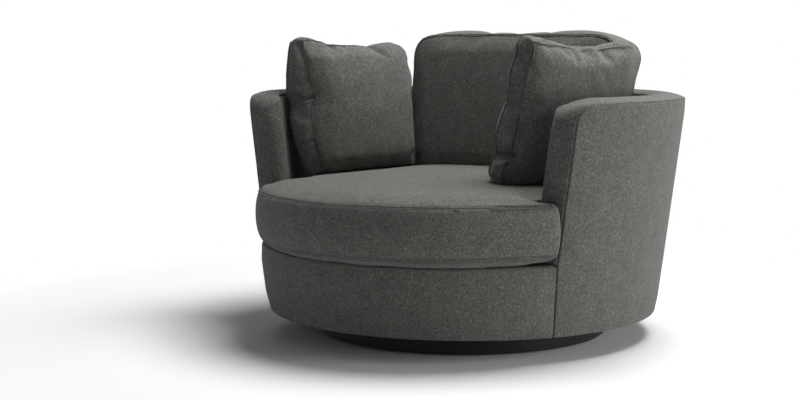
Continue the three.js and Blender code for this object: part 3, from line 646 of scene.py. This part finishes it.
def wrapStrip(name, shape, seamTree):
    rows, top = hemRows(shape), topRows(shape)
    heights = gradedHeights(rows[-1][1], top[0][1], shape["rows"], shape["fineRows"])
    rows += [(0, z) for z in heights[1:-1]] + top
    bpy.ops.mesh.primitive_grid_add(x_subdivisions=shape["columns"], y_subdivisions=len(rows) - 1, size=2)
    strip = added(name)
    facing = shape["facing"]
    lengths = [0]
    for (insetA, zA), (insetB, zB) in zip(rows, rows[1:]):
        lengths.append(lengths[-1] + math.hypot(insetA - insetB, zA - zB))
    places = []
    for vertex in strip.data.vertices:
        row = round((vertex.co.y + 1) / 2 * (len(rows) - 1))
        inset, z = rows[row]
        radius = outerRadius(z) + inset
        ends = math.acos(min(1, max(-1, -facing * seamLine(z) / radius))) - shape["gap"] / radius
        angle = crowd(vertex.co.x, shape["fine"]) * ends
        edge = edgeOf(shape, facing * radius * math.cos(angle), z, (ends - abs(angle)) * radius)
        puff = shape["puff"] * smooth(min(edge, max(0, z - barrel["hem"])) / shape["puffReach"])
        if not shape["meetsRim"]:
            puff *= smooth((rows[-1][1] - z) / shape["puffReach"])
        lean = max(0, 1 - edge / shape["rollWidth"])
        roll = shape["roll"] * (1 - math.sqrt(max(0, 1 - lean * lean)))
        around, up, seed = shape["puckerPace"]
        pucker = noise.noise(Vector((angle * around, z * up, seed))) * math.exp(-edge / shape["puckerReach"])
        radius += puff - roll + shape["pucker"] * pucker
        vertex.co = Vector((radius * math.sin(angle), facing * radius * math.cos(angle), z))
        places.append((angle * outerRadius(barrel["deck"]), lengths[row]))
    layer = strip.data.uv_layers[0]
    layer.name = "cloth"
    for loop in strip.data.loops:
        layer.data[loop.index].uv = places[loop.vertex_index]
    middle = strip.data.polygons[len(strip.data.polygons) // 2]
    if middle.normal.xy.dot(middle.center.xy) < 0:
        strip.data.flip_normals()
    applyModifier(strip, "SOLIDIFY", thickness=shape["thickness"], offset=-1)
    # paints shade along the seams without drawing the strip in
    sinkSeams(strip, seamTree, 0)
    return strip


# facing is 1 for a strip round the back and -1 for one round the front
stripShape = {
    "lip": 0.014, "hemRound": 0.006, "roundSteps": 5, "fine": 0.14, "gap": 0.0004,
    "roll": 0.0045, "rollWidth": 0.0065, "thickness": 0.0036,
    "pucker": 0.0008, "puckerReach": 0.012, "puckerPace": (34, 40, 3.7),
}
panelShape = {
    **stripShape, "facing": 1, "meetsRim": True,
    "columns": 260, "rows": 70, "fineRows": 0.2, "puff": 0.0030, "puffReach": 0.050,
}

apronShape = {
    **stripShape, "facing": -1, "meetsRim": False, "topRound": 0.011, "topLip": 0.016,
    "columns": 150, "rows": 34, "fineRows": 0.3, "puff": 0.0065, "puffReach": 0.060,
}


# Band over the rim and arms, and the inside pad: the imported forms, softened

def unfacet(piece):
    # gives a ring of flat sides its round form back
    half = math.pi / barrel["facets"]
    for vertex in piece.data.vertices:
        off = math.atan2(vertex.co.y, vertex.co.x) % (2 * half) - half
        share = math.cos(off) / math.cos(half)
        vertex.co.x *= share
        vertex.co.y *= share


def softCopy(node, name, shape):
    piece = pieceOf(name, nodes[node].data.copy())
    editWhole(piece, lambda: bpy.ops.mesh.remove_doubles(threshold=0.00002))
    unfacet(piece)
    piece.data.remesh_voxel_size = shape["voxel"]
    bpy.ops.object.voxel_remesh()
    applyModifier(piece, "SMOOTH", factor=0.5, iterations=shape["smoothing"])
    return piece


wrapSides = {"level": 0.7, "front": 0.8, "frontDepth": 0.03}


def wrapUv(piece):
    # cloth coordinates that run round the barrel, over the rim and across the arm fronts
    layer = piece.data.uv_layers.get("cloth") or piece.data.uv_layers.new(name="cloth")
    mean = (innerRadius(barrel["rim"]) + outerRadius(barrel["rim"])) / 2
    frontEnd = wrapSides["frontDepth"] - barrel["armFront"]
    for face in piece.data.polygons:
        level = abs(face.normal.z) > wrapSides["level"]
        front = abs(face.normal.y) > wrapSides["front"] and face.center.y < frontEnd
        for index in face.loop_indices:
            place = piece.data.vertices[piece.data.loops[index].vertex_index].co
            around = math.atan2(place.x, place.y) * mean
            if level:
                layer.data[index].uv = (around, place.xy.length)
            else:
                layer.data[index].uv = (place.x if front else around, place.z)


bandShape = {"voxel": 0.0033, "smoothing": 6, "puff": 0.0022, "puffReach": 0.030}
padShape = {"voxel": 0.0060, "smoothing": 6}
innerNose = {"radius": 0.080, "across": 0.075}


def roundInside(piece):
    # the round front corner of an arm top is larger on the inner side
    corners = cornersOf(piece)
    outer, least = barrel["noseRadius"], 1e-9
    inset = np.hypot(corners[:, 0], corners[:, 1]) - innerRadius(corners[:, 2])
    radius = innerNose["radius"] + (outer - innerNose["radius"]) * smooth(inset / innerNose["across"])
    offFront = radius - (corners[:, 1] + barrel["armFront"])
    offDrop = radius - (barrel["rim"] - corners[:, 2])
    within = (offFront > 0) & (offDrop > 0) & (radius > outer)
    distance = np.maximum(np.hypot(offFront, offDrop), least)
    front, drop = offFront / distance, offDrop / distance
    # how far out the old corner lies in the direction of this point
    flat = radius / np.maximum(np.maximum(front, drop), least)
    offset = radius - outer
    both = offset * (front + drop)
    bend = both + np.sqrt(np.maximum(both ** 2 - 2 * offset ** 2 + outer ** 2, 0))
    reach = np.where(np.minimum(front, drop) * flat <= offset, flat, bend)
    pull = np.where(within, 1 - radius / reach, 0)
    corners[:, 1] += offFront * pull
    corners[:, 2] -= offDrop * pull
    moveCorners(piece, corners)


def buildSoft(node, name, shape, seamTree):
    piece = softCopy(node, name, shape)
    if "puff" in shape:
        share = distancesTo(seamTree, cornersOf(piece)) / shape["puffReach"]
        swell(piece, shape["puff"] * smooth(share))
    sinkSeams(piece, seamTree, seams["depth"])
    roundInside(piece)
    wrapUv(piece)
    return piece


# Plinth

plinthShape = {"sides": 192, "edge": 0.003, "steps": 3, "wall": 0.018}


def buildPlinthRing():
    low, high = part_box("plinth_ring")
    bpy.ops.mesh.primitive_circle_add(vertices=plinthShape["sides"], radius=high.x, location=(0, 0, low.z))
    ring = added("plinthRing")
    rise = {"value": (0, 0, high.z - low.z)}
    editWhole(ring, lambda: bpy.ops.mesh.extrude_edges_move(TRANSFORM_OT_translate=rise))
    faceOutward(ring)
    if ring.data.polygons[0].normal.dot(ring.data.polygons[0].center) < 0:
        ring.data.flip_normals()
    bpy.ops.object.transform_apply(location=True, rotation=True, scale=True)
    applyModifier(ring, "SOLIDIFY", thickness=plinthShape["wall"], offset=-1)
    steps, edge = plinthShape["steps"], plinthShape["edge"]
    applyModifier(ring, "BEVEL", width=edge, segments=steps, limit_method="ANGLE")
    return ring


# Cushions: a panel on both sides and a boxing strip between two seams

relax = {"gridRounds": 4000, "heightRounds": 5000, "lift": 0.001, "sideSteps": 80, "outlineSteps": 400}


def spread(line, steps):
    line = np.asarray(line, dtype=float)
    lengths = np.concatenate([[0], np.cumsum(np.hypot(*np.diff(line, axis=0).T))])
    places = np.linspace(0, lengths[-1], steps + 1)
    return np.column_stack([np.interp(places, lengths, line[:, k]) for k in (0, 1)])


def meanOfNear(grid):
    return (grid[:-2, 1:-1] + grid[2:, 1:-1] + grid[1:-1, :-2] + grid[1:-1, 2:]) / 4


def gridWithin(sides, shape):
    # an even grid inside four outline sides that follow one another counterclockwise
    across, along = shape["across"], shape["along"]
    low, right, high, left = (spread(side, steps) for side, steps in zip(sides, (across, along) * 2))
    grid = np.zeros((across + 1, along + 1, 2))
    share = np.linspace(0, 1, across + 1)[:, None, None]
    rise = np.linspace(0, 1, along + 1)[None, :, None]
    high, left = high[::-1], left[::-1]
    grid += (1 - rise) * low[:, None] + rise * high[:, None]
    grid += (1 - share) * left[None] + share * right[None]
    grid -= (1 - share) * (1 - rise) * low[0] + share * (1 - rise) * low[-1]
    grid -= (1 - share) * rise * high[0] + share * rise * high[-1]
    for _ in range(relax["gridRounds"]):
        grid[1:-1, 1:-1] = meanOfNear(grid)
    return grid


def pillowHeights(shape):
    # 0 along the border and 1 in the middle, as a skin under even pressure
    height = np.zeros((shape["across"] + 1, shape["along"] + 1))
    for _ in range(relax["heightRounds"]):
        height[1:-1, 1:-1] = meanOfNear(height) + relax["lift"]
    return (height / height.max()) ** shape["fullness"]


def indexOf(shape):
    across, along = shape["across"] + 1, shape["along"] + 1
    return np.arange(across * along).reshape(across, along)


def borderOf(shape):
    index = indexOf(shape)
    return [*index[:-1, 0], *index[-1, :-1], *index[:0:-1, -1], *index[0, :0:-1]]


def weigh(group, corners, weight):
    group.add([int(i) for i in corners], weight, "REPLACE")


def boxedForm(name, grid, shape, levelOf):
    # levelOf(share of depth, points, heights) gives the corners of a layer between the two panels
    index, loop, rows = indexOf(shape), borderOf(shape), shape["boxingRows"]
    flat, tall = grid.reshape(-1, 2), pillowHeights(shape).reshape(-1)
    count, around = len(flat), len(loop)
    border = flat[loop]
    corners = [levelOf(0, flat, tall), levelOf(1, flat, tall)]
    corners += [levelOf(k / rows, border, np.zeros(around)) for k in range(1, rows)]
    layers = [loop] + [[2 * count + k * around + i for i in range(around)] for k in range(rows - 1)]
    layers.append([count + i for i in loop])
    quads = [(index[i, j], index[i + 1, j], index[i + 1, j + 1], index[i, j + 1])
             for i in range(shape["across"]) for j in range(shape["along"])]
    faces = quads + [tuple(count + i for i in quad[::-1]) for quad in quads]
    for upper, lower in zip(layers, layers[1:]):
        for i in range(around):
            j = (i + 1) % around
            faces.append((upper[i], lower[i], lower[j], upper[j]))
    mesh = bpy.data.meshes.new(name)
    mesh.from_pydata([tuple(c) for c in np.vstack(corners)], [], [tuple(f) for f in faces])
    piece = pieceOf(name, mesh)
    seam, panel = (piece.vertex_groups.new(name=label) for label in ("seam", "panel"))
    inside = sorted(set(range(count)) - set(loop))
    weigh(seam, layers[0] + layers[-1], 1)
    weigh(panel, inside + [count + i for i in inside], 1)
    weigh(panel, layers[0] + layers[-1], 0.5)
    lengths = np.concatenate([[0], np.cumsum(np.hypot(*np.diff(np.vstack([border, border[:1]]), axis=0).T))])
    step = shape["boxing"] / rows
    layer = mesh.uv_layers.new(name="cloth")
    for face in mesh.polygons:
        row, i = divmod(face.index - 2 * len(quads), around)
        near, far, high, low = (lengths[i], lengths[i + 1], row * step, (row + 1) * step)
        places = ((near, high), (near, low), (far, low), (far, high))
        for k, place in zip(face.loop_indices, places):
            layer.data[k].uv = place if row >= 0 else flat[mesh.loops[k].vertex_index % count]
    faceOutward(piece)
    return piece


simulation = {"quality": 4, "mass": 0.3, "use_pressure": True, "vertex_group_shrink": "seam"}


def inflate(piece, shape):
    # cloth under inner pressure, its corners kept within a cap of where they started
    scene = bpy.context.scene
    start = cornersOf(piece)
    makeActive(piece)
    modifier = piece.modifiers.new("Cloth", "CLOTH")
    settings = modifier.settings
    for key, value in simulation.items():
        setattr(settings, key, value)
    settings.uniform_pressure_force = shape["pressure"]
    settings.effector_weights.gravity = 0
    settings.shrink_min = -shape["ease"]
    settings.shrink_max = 0
    settings.bending_stiffness = shape["bending"]
    modifier.collision_settings.use_collision = False
    modifier.point_cache.frame_end = shape["frames"]
    for step in range(1, shape["frames"] + 1):
        scene.frame_set(step)
    result = piece.evaluated_get(bpy.context.evaluated_depsgraph_get())
    moved = np.array([v.co for v in result.data.vertices])
    piece.modifiers.remove(modifier)
    scene.frame_set(1)
    shift = moved - start
    shift -= shift.mean(axis=0)
    ends = np.zeros(len(piece.data.edges) * 2, dtype=np.int64)
    piece.data.edges.foreach_get("vertices", ends)
    ends = np.concatenate([ends.reshape(-1, 2), ends.reshape(-1, 2)[:, ::-1]])
    count = np.bincount(ends[:, 0], minlength=len(start))[:, None]
    for _ in range(shape["evening"]):
        total = np.zeros_like(shift)
        np.add.at(total, ends[:, 0], shift[ends[:, 1]])
        shift = (shift + total / count) / 2
    size = np.linalg.norm(shift, axis=1)
    seamTree = treeOf([Vector(corner) for corner in start[groupWeights(piece, "seam") > 0.5]])
    away = np.clip(distancesTo(seamTree, start) / shape["capReach"], 0, 1)
    cap = shape["seamCap"] + (shape["cap"] - shape["seamCap"]) * away
    limit = np.minimum(1, cap / np.maximum(size, 1e-9))
    moveCorners(piece, start + shift * limit[:, None])
    print(piece.name, "swelled by", round(float(size.max()) * 1000, 1), "mm at most")


def groupWeights(piece, name):
    index = piece.vertex_groups[name].index
    weights = np.zeros(len(piece.data.vertices))
    for vertex in piece.data.vertices:
        for entry in vertex.groups:
            if entry.group == index:
                weights[vertex.index] = entry.weight
    return weights


def refine(piece, shape):
    # one finer level, then short rows beside both seams; returns the seam lines
    applyModifier(piece, "SUBSURF", levels=1, render_levels=1)
    onSeam = groupWeights(piece, "seam") > 0.99
    corners = cornersOf(piece)
    points = []
    for edge in piece.data.edges:
        first, second = edge.vertices
        if onSeam[first] and onSeam[second]:
            begin, end = Vector(corners[first]), Vector(corners[second])
            points += [begin.lerp(end, share) for share in (0, 0.25, 0.5, 0.75)]
    makeActive(piece)
    setMode("EDIT")
    bpy.ops.mesh.select_mode(type="VERT")
    bpy.ops.mesh.select_all(action="DESELECT")
    setMode("OBJECT")
    piece.data.vertices.foreach_set("select", onSeam)
    setMode("EDIT")
    bpy.ops.mesh.bevel(offset=shape["seamReach"], segments=shape["seamRows"], profile=1, affect="EDGES")
    setMode("OBJECT")
    return points


sewn = {
    "grooveWidth": 0.0011, "grooveDepth": 0.0022,
    "lipPlace": 0.0032, "lipWidth": 0.0016, "lipHeight": 0.0011,
    "stitchPlace": 0.0062, "stitchDepth": 0.0006,
    "drawWidth": 0.012, "drawDepth": 0.0016,
    "puckerReach": 0.016, "pucker": 0.0011, "puckerPace": 52,
    "shadeWidth": 0.0013,
}


def sewSeams(piece, points, shape):
    # groove at the seam, a lip on the panel side and a stitched line beside it, with painted shade in the
    # groove and along the stitched line
    corners = cornersOf(piece)
    distance = distancesTo(treeOf(points), corners)
    lipShare = np.where(groupWeights(piece, "panel") > 0.5, 1, 0.5)
    move = -sewn["grooveDepth"] * bell(distance, sewn["grooveWidth"])
    move -= sewn["drawDepth"] * bell(distance, sewn["drawWidth"])
    move += lipShare * sewn["lipHeight"] * bell(distance - sewn["lipPlace"], sewn["lipWidth"])
    stitched = bell(distance - sewn["stitchPlace"], shape["stitchWidth"])
    move -= sewn["stitchDepth"] * stitched
    pucker = sewn["pucker"] * noiseAt(corners, sewn["puckerPace"])
    swell(piece, move + pucker * bell(distance, sewn["puckerReach"]))
    # painted shade in the seam groove and along the stitched line
    shade = np.maximum(bell(distance, sewn["shadeWidth"]), shape["stitchShade"] * stitched)
    setAttribute(piece, "paintedSeamShade", shade)


creaseRidge = {"height": 0.35, "place": 2.1, "width": 0.9}  # shares of the valley's depth and width


def crease(piece, start, end, inward, width, depth, fade):
    # a valley in millimetres from start to end with raised sides; with a fade it runs out towards its end
    corners = cornersOf(piece)
    start, way, width, depth = np.array(start) / 1000, np.array(inward), width / 1000, depth / 1000
    along = np.array(end) / 1000 - start
    share = np.clip((corners - start) @ along / (along @ along), 0, 1)
    distance = np.linalg.norm(corners - start - share[:, None] * along, axis=1)
    ridge = bell(distance - creaseRidge["place"] * width, creaseRidge["width"] * width)
    move = depth * bell(distance, width) - creaseRidge["height"] * depth * ridge
    moveCorners(piece, corners + (move * (1 - share) ** fade)[:, None] * way / np.linalg.norm(way))


def buildCushion(name, grid, shape, levelOf):
    piece = boxedForm(name, grid, shape, levelOf)
    inflate(piece, shape)
    points = refine(piece, shape)
    amount, pace, seed = shape["lumps"]
    swell(piece, amount * noiseAt(cornersOf(piece), pace, seed))
    sewSeams(piece, points, shape)
    return piece


def roundedSides(shape):
    # four sides of a square with full corners, drawn in between them
    halfWidth, halfHeight, drawIn = shape["width"] / 2, shape["height"] / 2, shape["drawIn"]
    steps = relax["sideSteps"]

    def full(part):
        return math.copysign(abs(part) ** (2 / shape["power"]), part)

    sides = []
    for quarter in range(4):
        angles = [math.radians(-135 + 90 * quarter + 90 * i / steps) for i in range(steps + 1)]
        places = [(full(math.cos(angle)), full(math.sin(angle))) for angle in angles]
        sides.append([(u * (halfWidth - drawIn * (1 - v * v)), v * (halfHeight - drawIn * (1 - u * u)))
                      for u, v in places])
    return sides


def outlineSides(sides, rounds):
    # an even closed line through four sides that each begin at a corner, with the corners softened
    sides = [np.array(side) / 1000 for side in sides]
    line = spread(np.vstack([*sides, sides[0][:1]]), relax["outlineSteps"])[:-1]
    starts = [int(np.argmin(np.hypot(*(line - side[0]).T))) for side in sides]
    for _ in range(rounds):
        line = (np.roll(line, 1, axis=0) + 2 * line + np.roll(line, -1, axis=0)) / 4
    ends = starts[1:] + [starts[0] + len(line)]
    return [line[np.arange(low, high + 1) % len(line)] for low, high in zip(starts, ends)]


def standingLayer(shape, offset):
    # layers of a cushion that stands up, whose front panel faces up until it is placed;
    # offset is how far each corner of the rear panel lies from that of the front panel
    border = borderOf(shape)

    def layer(share, flat, tall):
        depth = shape["boxing"]
        fuller = 1 + shape["bulge"] * math.sin(math.pi * share)
        flat = flat + share * (offset if len(flat) == len(offset) else offset[border])
        z = np.full(len(flat), depth / 2 - depth * share)
        if share == 0:
            z += shape["crown"] * tall
        elif share == 1:
            z -= shape["rearCrown"] * tall
        return np.column_stack([flat * fuller, z])
    return layer


def keepClear(piece):
    # keeps a cushion above the deck and off the inside of the wall and the arm fronts
    gap, reach = 0.001, 0.03
    front = -barrel["armFront"] - gap
    for vertex in piece.data.vertices:
        place = vertex.co
        place.z = max(place.z, barrel["deck"] + gap)
        limit = innerRadius(min(place.z, barrel["rim"])) - gap
        radius = math.hypot(place.x, place.y)
        if place.z < barrel["rim"] and radius > limit and place.y > front:
            if place.y < front + reach:
                place.y = front
            else:
                place.x *= limit / radius
                place.y *= limit / radius


def standOn(piece, place, seatTree, gap=0.0012):
    # puts a cushion in its place and flattens its underside on the seat
    piece.data.transform(place)
    piece.data.update()
    keepClear(piece)
    for vertex in piece.data.vertices:
        hit = seatTree.ray_cast(Vector((vertex.co.x, vertex.co.y, 2)), Vector((0, 0, -1)))
        if hit[0] is not None and vertex.co.z < hit[0].z + gap:
            vertex.co.z = hit[0].z + gap


cushionShape = {
    "pressure": 3, "ease": 0.03, "bending": 1.5, "frames": 16,
    "cap": 0.012, "seamCap": 0.003, "capReach": 0.06, "evening": 6,
    "seamReach": 0.0052, "seamRows": 8, "stitchWidth": 0.0008, "stitchShade": 0.45,
}
seatShape = {
    **cushionShape,
    "across": 96, "along": 62, "boxingRows": 12,
    "topSeam": 0.422, "crown": 0.034, "boxing": 0.136, "bulge": 0.036,
    "frontReach": 0.642, "halfWidth": 0.573, "shift": 0.017, "wingGap": 0.004, "wallGap": 0.009,
    "wingCorner": 0.032, "neckCorner": 0.026, "narrowing": 0.04, "fullness": 0.68, "underFullness": 0.22,
    "dent": 0.015, "dentAt": ((-0.40, -0.03), (0.37, -0.03)), "dentReach": (0.15, 0.24), "dentRise": 3,
    "lumps": (0.0016, 5.0, 1.3), "bending": 2.0, "seamCap": 0.002,
    "seamReach": 0.0064, "stitchWidth": 0.0014, "stitchShade": 0.85,
}
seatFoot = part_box("seat_cushion")[0].z


def curve(bend, steps):
    return [bend[0] * (1 - t) ** 2 + bend[1] * 2 * t * (1 - t) + bend[2] * t * t
            for t in (i / steps for i in range(steps + 1))]


def arc(width, depth, begin, end, steps):
    angles = [begin + (end - begin) * i / steps for i in range(steps + 1)]
    return [(width * math.cos(angle), depth * math.sin(angle)) for angle in angles]


def seatSides():
    shape = seatShape
    back = innerRadius(shape["topSeam"]) - shape["wallGap"]
    wingY = -barrel["armFront"] - shape["wingGap"]
    reach, half = shape["frontReach"], shape["halfWidth"]
    corner, neck = shape["wingCorner"], shape["neckCorner"]
    begin = math.asin((-wingY + corner) / reach)
    front = arc(half, reach, begin - math.pi, -begin, 160)
    tipX, cornerX = (half * math.sqrt(1 - (y / reach) ** 2) for y in (wingY, wingY - corner))
    tip = [Vector((cornerX, wingY - corner)), Vector((tipX, wingY)), Vector((tipX - corner, wingY))]
    neckX = math.sqrt(back ** 2 - wingY ** 2)
    turned = wingY + neck
    inner = [Vector((neckX + neck, wingY)), Vector((neckX, wingY)),
             Vector((math.sqrt(back ** 2 - turned ** 2), turned))]
    right = [tuple(point) for point in curve(tip, 16) + curve(inner, 16)]
    right += arc(back, back, math.asin(turned / back), math.pi / 4, 80)[1:]
    left = [(-x, y) for x, y in right[::-1]]
    return front, right, arc(back, back, math.pi / 4, 3 * math.pi / 4, 80), left


def seatLayer(share, flat, tall):
    shape = seatShape
    z = shape["topSeam"] - shape["boxing"] * share
    narrow = innerRadius(z) - shape["wallGap"]
    narrow /= innerRadius(shape["topSeam"]) - shape["wallGap"]
    behind = smooth((flat[:, 1] + barrel["armFront"]) / shape["narrowing"])
    fuller = 1 + shape["bulge"] * math.sin(math.pi * share) * (1 - behind)
    factor = (1 + (narrow - 1) * behind) * fuller
    x = flat[:, 0] * factor + shape["shift"] * (1 - behind)
    y = flat[:, 1] * factor
    level = np.full(len(flat), z)
    if share == 0:
        level += shape["crown"] * tall
        acrossReach, alongReach = shape["dentReach"]
        for sideways, forward in shape["dentAt"]:
            off = ((x - sideways) / acrossReach) ** 2 + ((y - forward) / alongReach) ** 2
            level -= shape["dent"] * np.exp(-off) * np.minimum(1, shape["dentRise"] * tall)
    elif share == 1:
        level -= (z - seatFoot) * tall ** (shape["underFullness"] / shape["fullness"])
    return np.column_stack([x, y, level])


def buildSeatCushion():
    seat = buildCushion("seatCushion", gridWithin(seatSides(), seatShape), seatShape, seatLayer)
    keepClear(seat)
    return seat


backShape = {
    **cushionShape,
    "across": 88, "along": 56, "boxingRows": 16,
    "width": 0.726, "height": 0.444, "boxing": 0.132, "crown": 0.020, "rearCrown": 0.006,
    "bulge": 0.014, "power": 7, "drawIn": 0.005, "fullness": 0.6, "lumps": (0.0018, 6.0, 5.1),
    "rearWider": 0.036, "rearTaller": 0.010, "rearFrom": (0.03, 0.12),  # swells above the rim
    "lean": 10.5, "faceY": 0.268, "top": 0.867, "side": 0.005,
}
throwShape = {
    **cushionShape,
    "across": 70, "along": 68, "boxingRows": 12,
    "boxing": 0.062, "crown": 0.040, "rearCrown": 0.034, "bulge": 0.03, "fullness": 0.6, "softening": 5,
    "turn": 75.5, "pressure": 3.5, "ease": 0.05, "bending": 1.0, "frames": 18,
    "cap": 0.014, "seamCap": 0.004, "capReach": 0.05, "evening": 2, "seamReach": 0.0042,
}
# in millimetres: outlines of both panels, from below counterclockwise, with the dents of the filling
throws = {
    "Left": {
        "place": (-0.3918, -0.019, 0.641), "lean": -10.4, "roll": 0, "lumps": (0.003, 11.0, 9.7),
        "front": (
            [(-160, -196), (-100, -200), (0, -198), (100, -196)],
            [(202, -192), (212, -120), (217, 0), (228, 75), (217, 140)],
            [(202, 178), (167, 191), (134, 190), (95, 184), (72, 179), (18, 187),
             (-21, 186), (-80, 188), (-104, 195), (-130, 200)],
            [(-178, 205), (-178, 166), (-175, 105), (-169, 57), (-158, 26),
             (-170, -4), (-175, -47), (-175, -101), (-170, -138)],
        ),
        "rear": (
            [(-172, -198), (-100, -205), (0, -200), (100, -196)],
            [(202, -192), (210, -120), (213, 0), (222, 75), (212, 140)],
            [(198, 176), (160, 190), (100, 190), (20, 186), (-80, 192), (-130, 208)],
            [(-184, 208), (-198, 172), (-213, 115), (-222, 54), (-209, 18),
             (-219, -37), (-211, -98), (-196, -150)],
        ),
        "creases": (
            # from, to, inward, width, depth, fade
            ((-162, 27, 32), (-226, 16, -30), (1, 0, -0.2), 5, 7, 0),
            ((-162, 27, 36), (-110, 34, 60), (0.2, 0, -1), 6, 4, 1.3),
            ((-206, 105, 4), (-212, 20, -6), (1, 0, 0), 5.5, 7.5, 0.3),
            ((-216, -15, -10), (-210, -112, -12), (1, 0, 0), 5.5, 8, 0.2),
            ((-176, -104, 31), (-214, -112, -20), (1, 0, -0.2), 5.5, 4.5, 0.3),
            ((-88, 186, 34), (-40, 128, 66), (0, -0.3, -1), 10, 4.5, 0.9),
            ((72, 177, 34), (112, 130, 66), (0, -0.3, -1), 10, 5, 0.9),
            ((180, -150, 34), (110, -90, 66), (0, 0.3, -1), 12, 5, 1.0),
        ),
    },
    "Right": {
        "place": (0.3419, -0.019, 0.650), "lean": 10.4, "roll": 2.5, "lumps": (0.003, 11.0, 4.2),
        "front": (
            [(-204, -205), (-150, -213), (0, -205), (100, -200)],
            [(206, -192), (215, -100), (222, 0), (226, 70), (222, 132)],
            [(210, 190), (180, 194), (117, 188), (72, 179), (40, 183), (9, 172),
             (-36, 181), (-84, 185), (-140, 188)],
            [(-181, 190), (-188, 135), (-194, 76), (-190, 26), (-196, -14),
             (-198, -69), (-208, -100), (-189, -117), (-216, -140), (-218, -172)],
        ),
        "rear": (
            [(-196, -210), (-150, -220), (0, -205), (100, -200)],
            [(206, -192), (212, -100), (215, 0), (216, 70), (211, 132)],
            [(200, 178), (150, 186), (100, 182), (50, 178), (0, 178), (-60, 188),
             (-120, 193)],
            [(-174, 195), (-188, 170), (-190, 130), (-198, 96), (-194, 40),
             (-183, 13), (-199, -10), (-205, -50), (-212, -88), (-195, -126),
             (-212, -148), (-215, -180)],
        ),
        "creases": (
            ((-192, 25, 32), (-188, 12, -32), (1, 0, -0.2), 4.2, 9, 0),
            ((-190, 25, 36), (-120, 36, 60), (0.2, 0, -1), 7, 4.5, 1.2),
            ((-193, -116, 32), (-198, -129, -32), (1, 0, -0.2), 5, 14, 0),
            ((-190, -116, 36), (-130, -136, 60), (0.2, 0, -1), 7.5, 7.5, 1.2),
            ((-204, 125, 4), (-202, 50, 0), (1, 0, 0), 5.5, 5, 0.4),
            ((-208, -20, 6), (-210, -98, 4), (1, 0, 0), 5.5, 5, 0.4),
            ((9, 172, 34), (105, 60, 74), (0, -0.3, -1), 16, 7, 0.7),
            ((72, 179, 34), (112, 120, 68), (0, -0.3, -1), 12, 3, 1.0),
            ((-150, -190, 34), (-80, -110, 68), (0, 0.3, -1), 12, 5, 1.0),
        ),
    },
}


def buildBackCushion(seatTree):
    shape = backShape
    grid = gridWithin(roundedSides(shape), shape)
    flat = grid.reshape(-1, 2)
    begin, height = shape["rearFrom"]
    rise = np.clip((flat[:, 1] - begin) / height, 0, 1)
    offset = np.column_stack([flat[:, 0] * shape["rearWider"] * rise, shape["rearTaller"] * rise])
    back = buildCushion("backCushion", grid, shape, standingLayer(shape, offset))
    place = (Matrix.Translation((shape["side"], shape["faceY"], shape["top"])) @ turn(-shape["lean"], "X")
             @ Matrix.Translation((0, shape["boxing"] / 2, -shape["height"] / 2)) @ turn(90, "X"))
    standOn(back, place, seatTree)
    return back


def buildThrow(label, seatTree):
    shape = {**throwShape, **throws[label]}
    grid, rearGrid = (gridWithin(outlineSides(shape[panel], shape["softening"]), shape)
                      for panel in ("front", "rear"))
    offset = (rearGrid - grid).reshape(-1, 2)
    pillow = buildCushion("throwCushion" + label, grid, shape, standingLayer(shape, offset))
    for values in shape["creases"]:
        crease(pillow, *values)
    place = (Matrix.Translation(shape["place"]) @ turn(shape["turn"], "Z") @ turn(shape["lean"], "X")
             @ turn(shape["roll"], "Y") @ turn(90, "X"))
    standOn(pillow, place, seatTree)
    return pillow


# The chair

buildCamera()
buildStage()
finishes = {slotName: plainMaterial(look) for slotName, look in looks.items()}
finishes["charcoal_fabric"] = clothMaterial()
dressPackedNodes()
print("stage and materials are ready")

seamTree = treeOf(rimAndArmSeam() + padSeam())
finishPiece(wrapStrip("outsidePanel", panelShape, seamTree), "charcoal_fabric", "chair", "outside_panel")
finishPiece(wrapStrip("frontApron", apronShape, seamTree), "charcoal_fabric", "chair", "front_apron")
for node, name, shape in (("top_and_arm_band", "topAndArmBand", bandShape),
                          ("inside_back_pad", "insidePad", padShape)):
    soft = buildSoft(node, name, shape, seamTree)
    finishPiece(soft, "charcoal_fabric", "chair", node)
print("cover is ready")

finishPiece(buildPlinthRing(), "black_plinth", "base", "plinth_ring")
print("plinth is ready")

seatCushion = buildSeatCushion()
finishPiece(seatCushion, "charcoal_fabric", "chair", "seat_cushion")
print("seat cushion is ready")

seatFaces = [tuple(face.vertices) for face in seatCushion.data.polygons]
seatTree = BVHTree.FromPolygons([v.co.copy() for v in seatCushion.data.vertices], seatFaces)
backCushion = buildBackCushion(seatTree)
finishPiece(backCushion, "charcoal_fabric", "chair", "back_cushion")
for label in ("Left", "Right"):
    pillow = buildThrow(label, seatTree)
    finishPiece(pillow, "charcoal_fabric", "chair", "throw_cushion_" + label.lower())
print("cushions are ready")
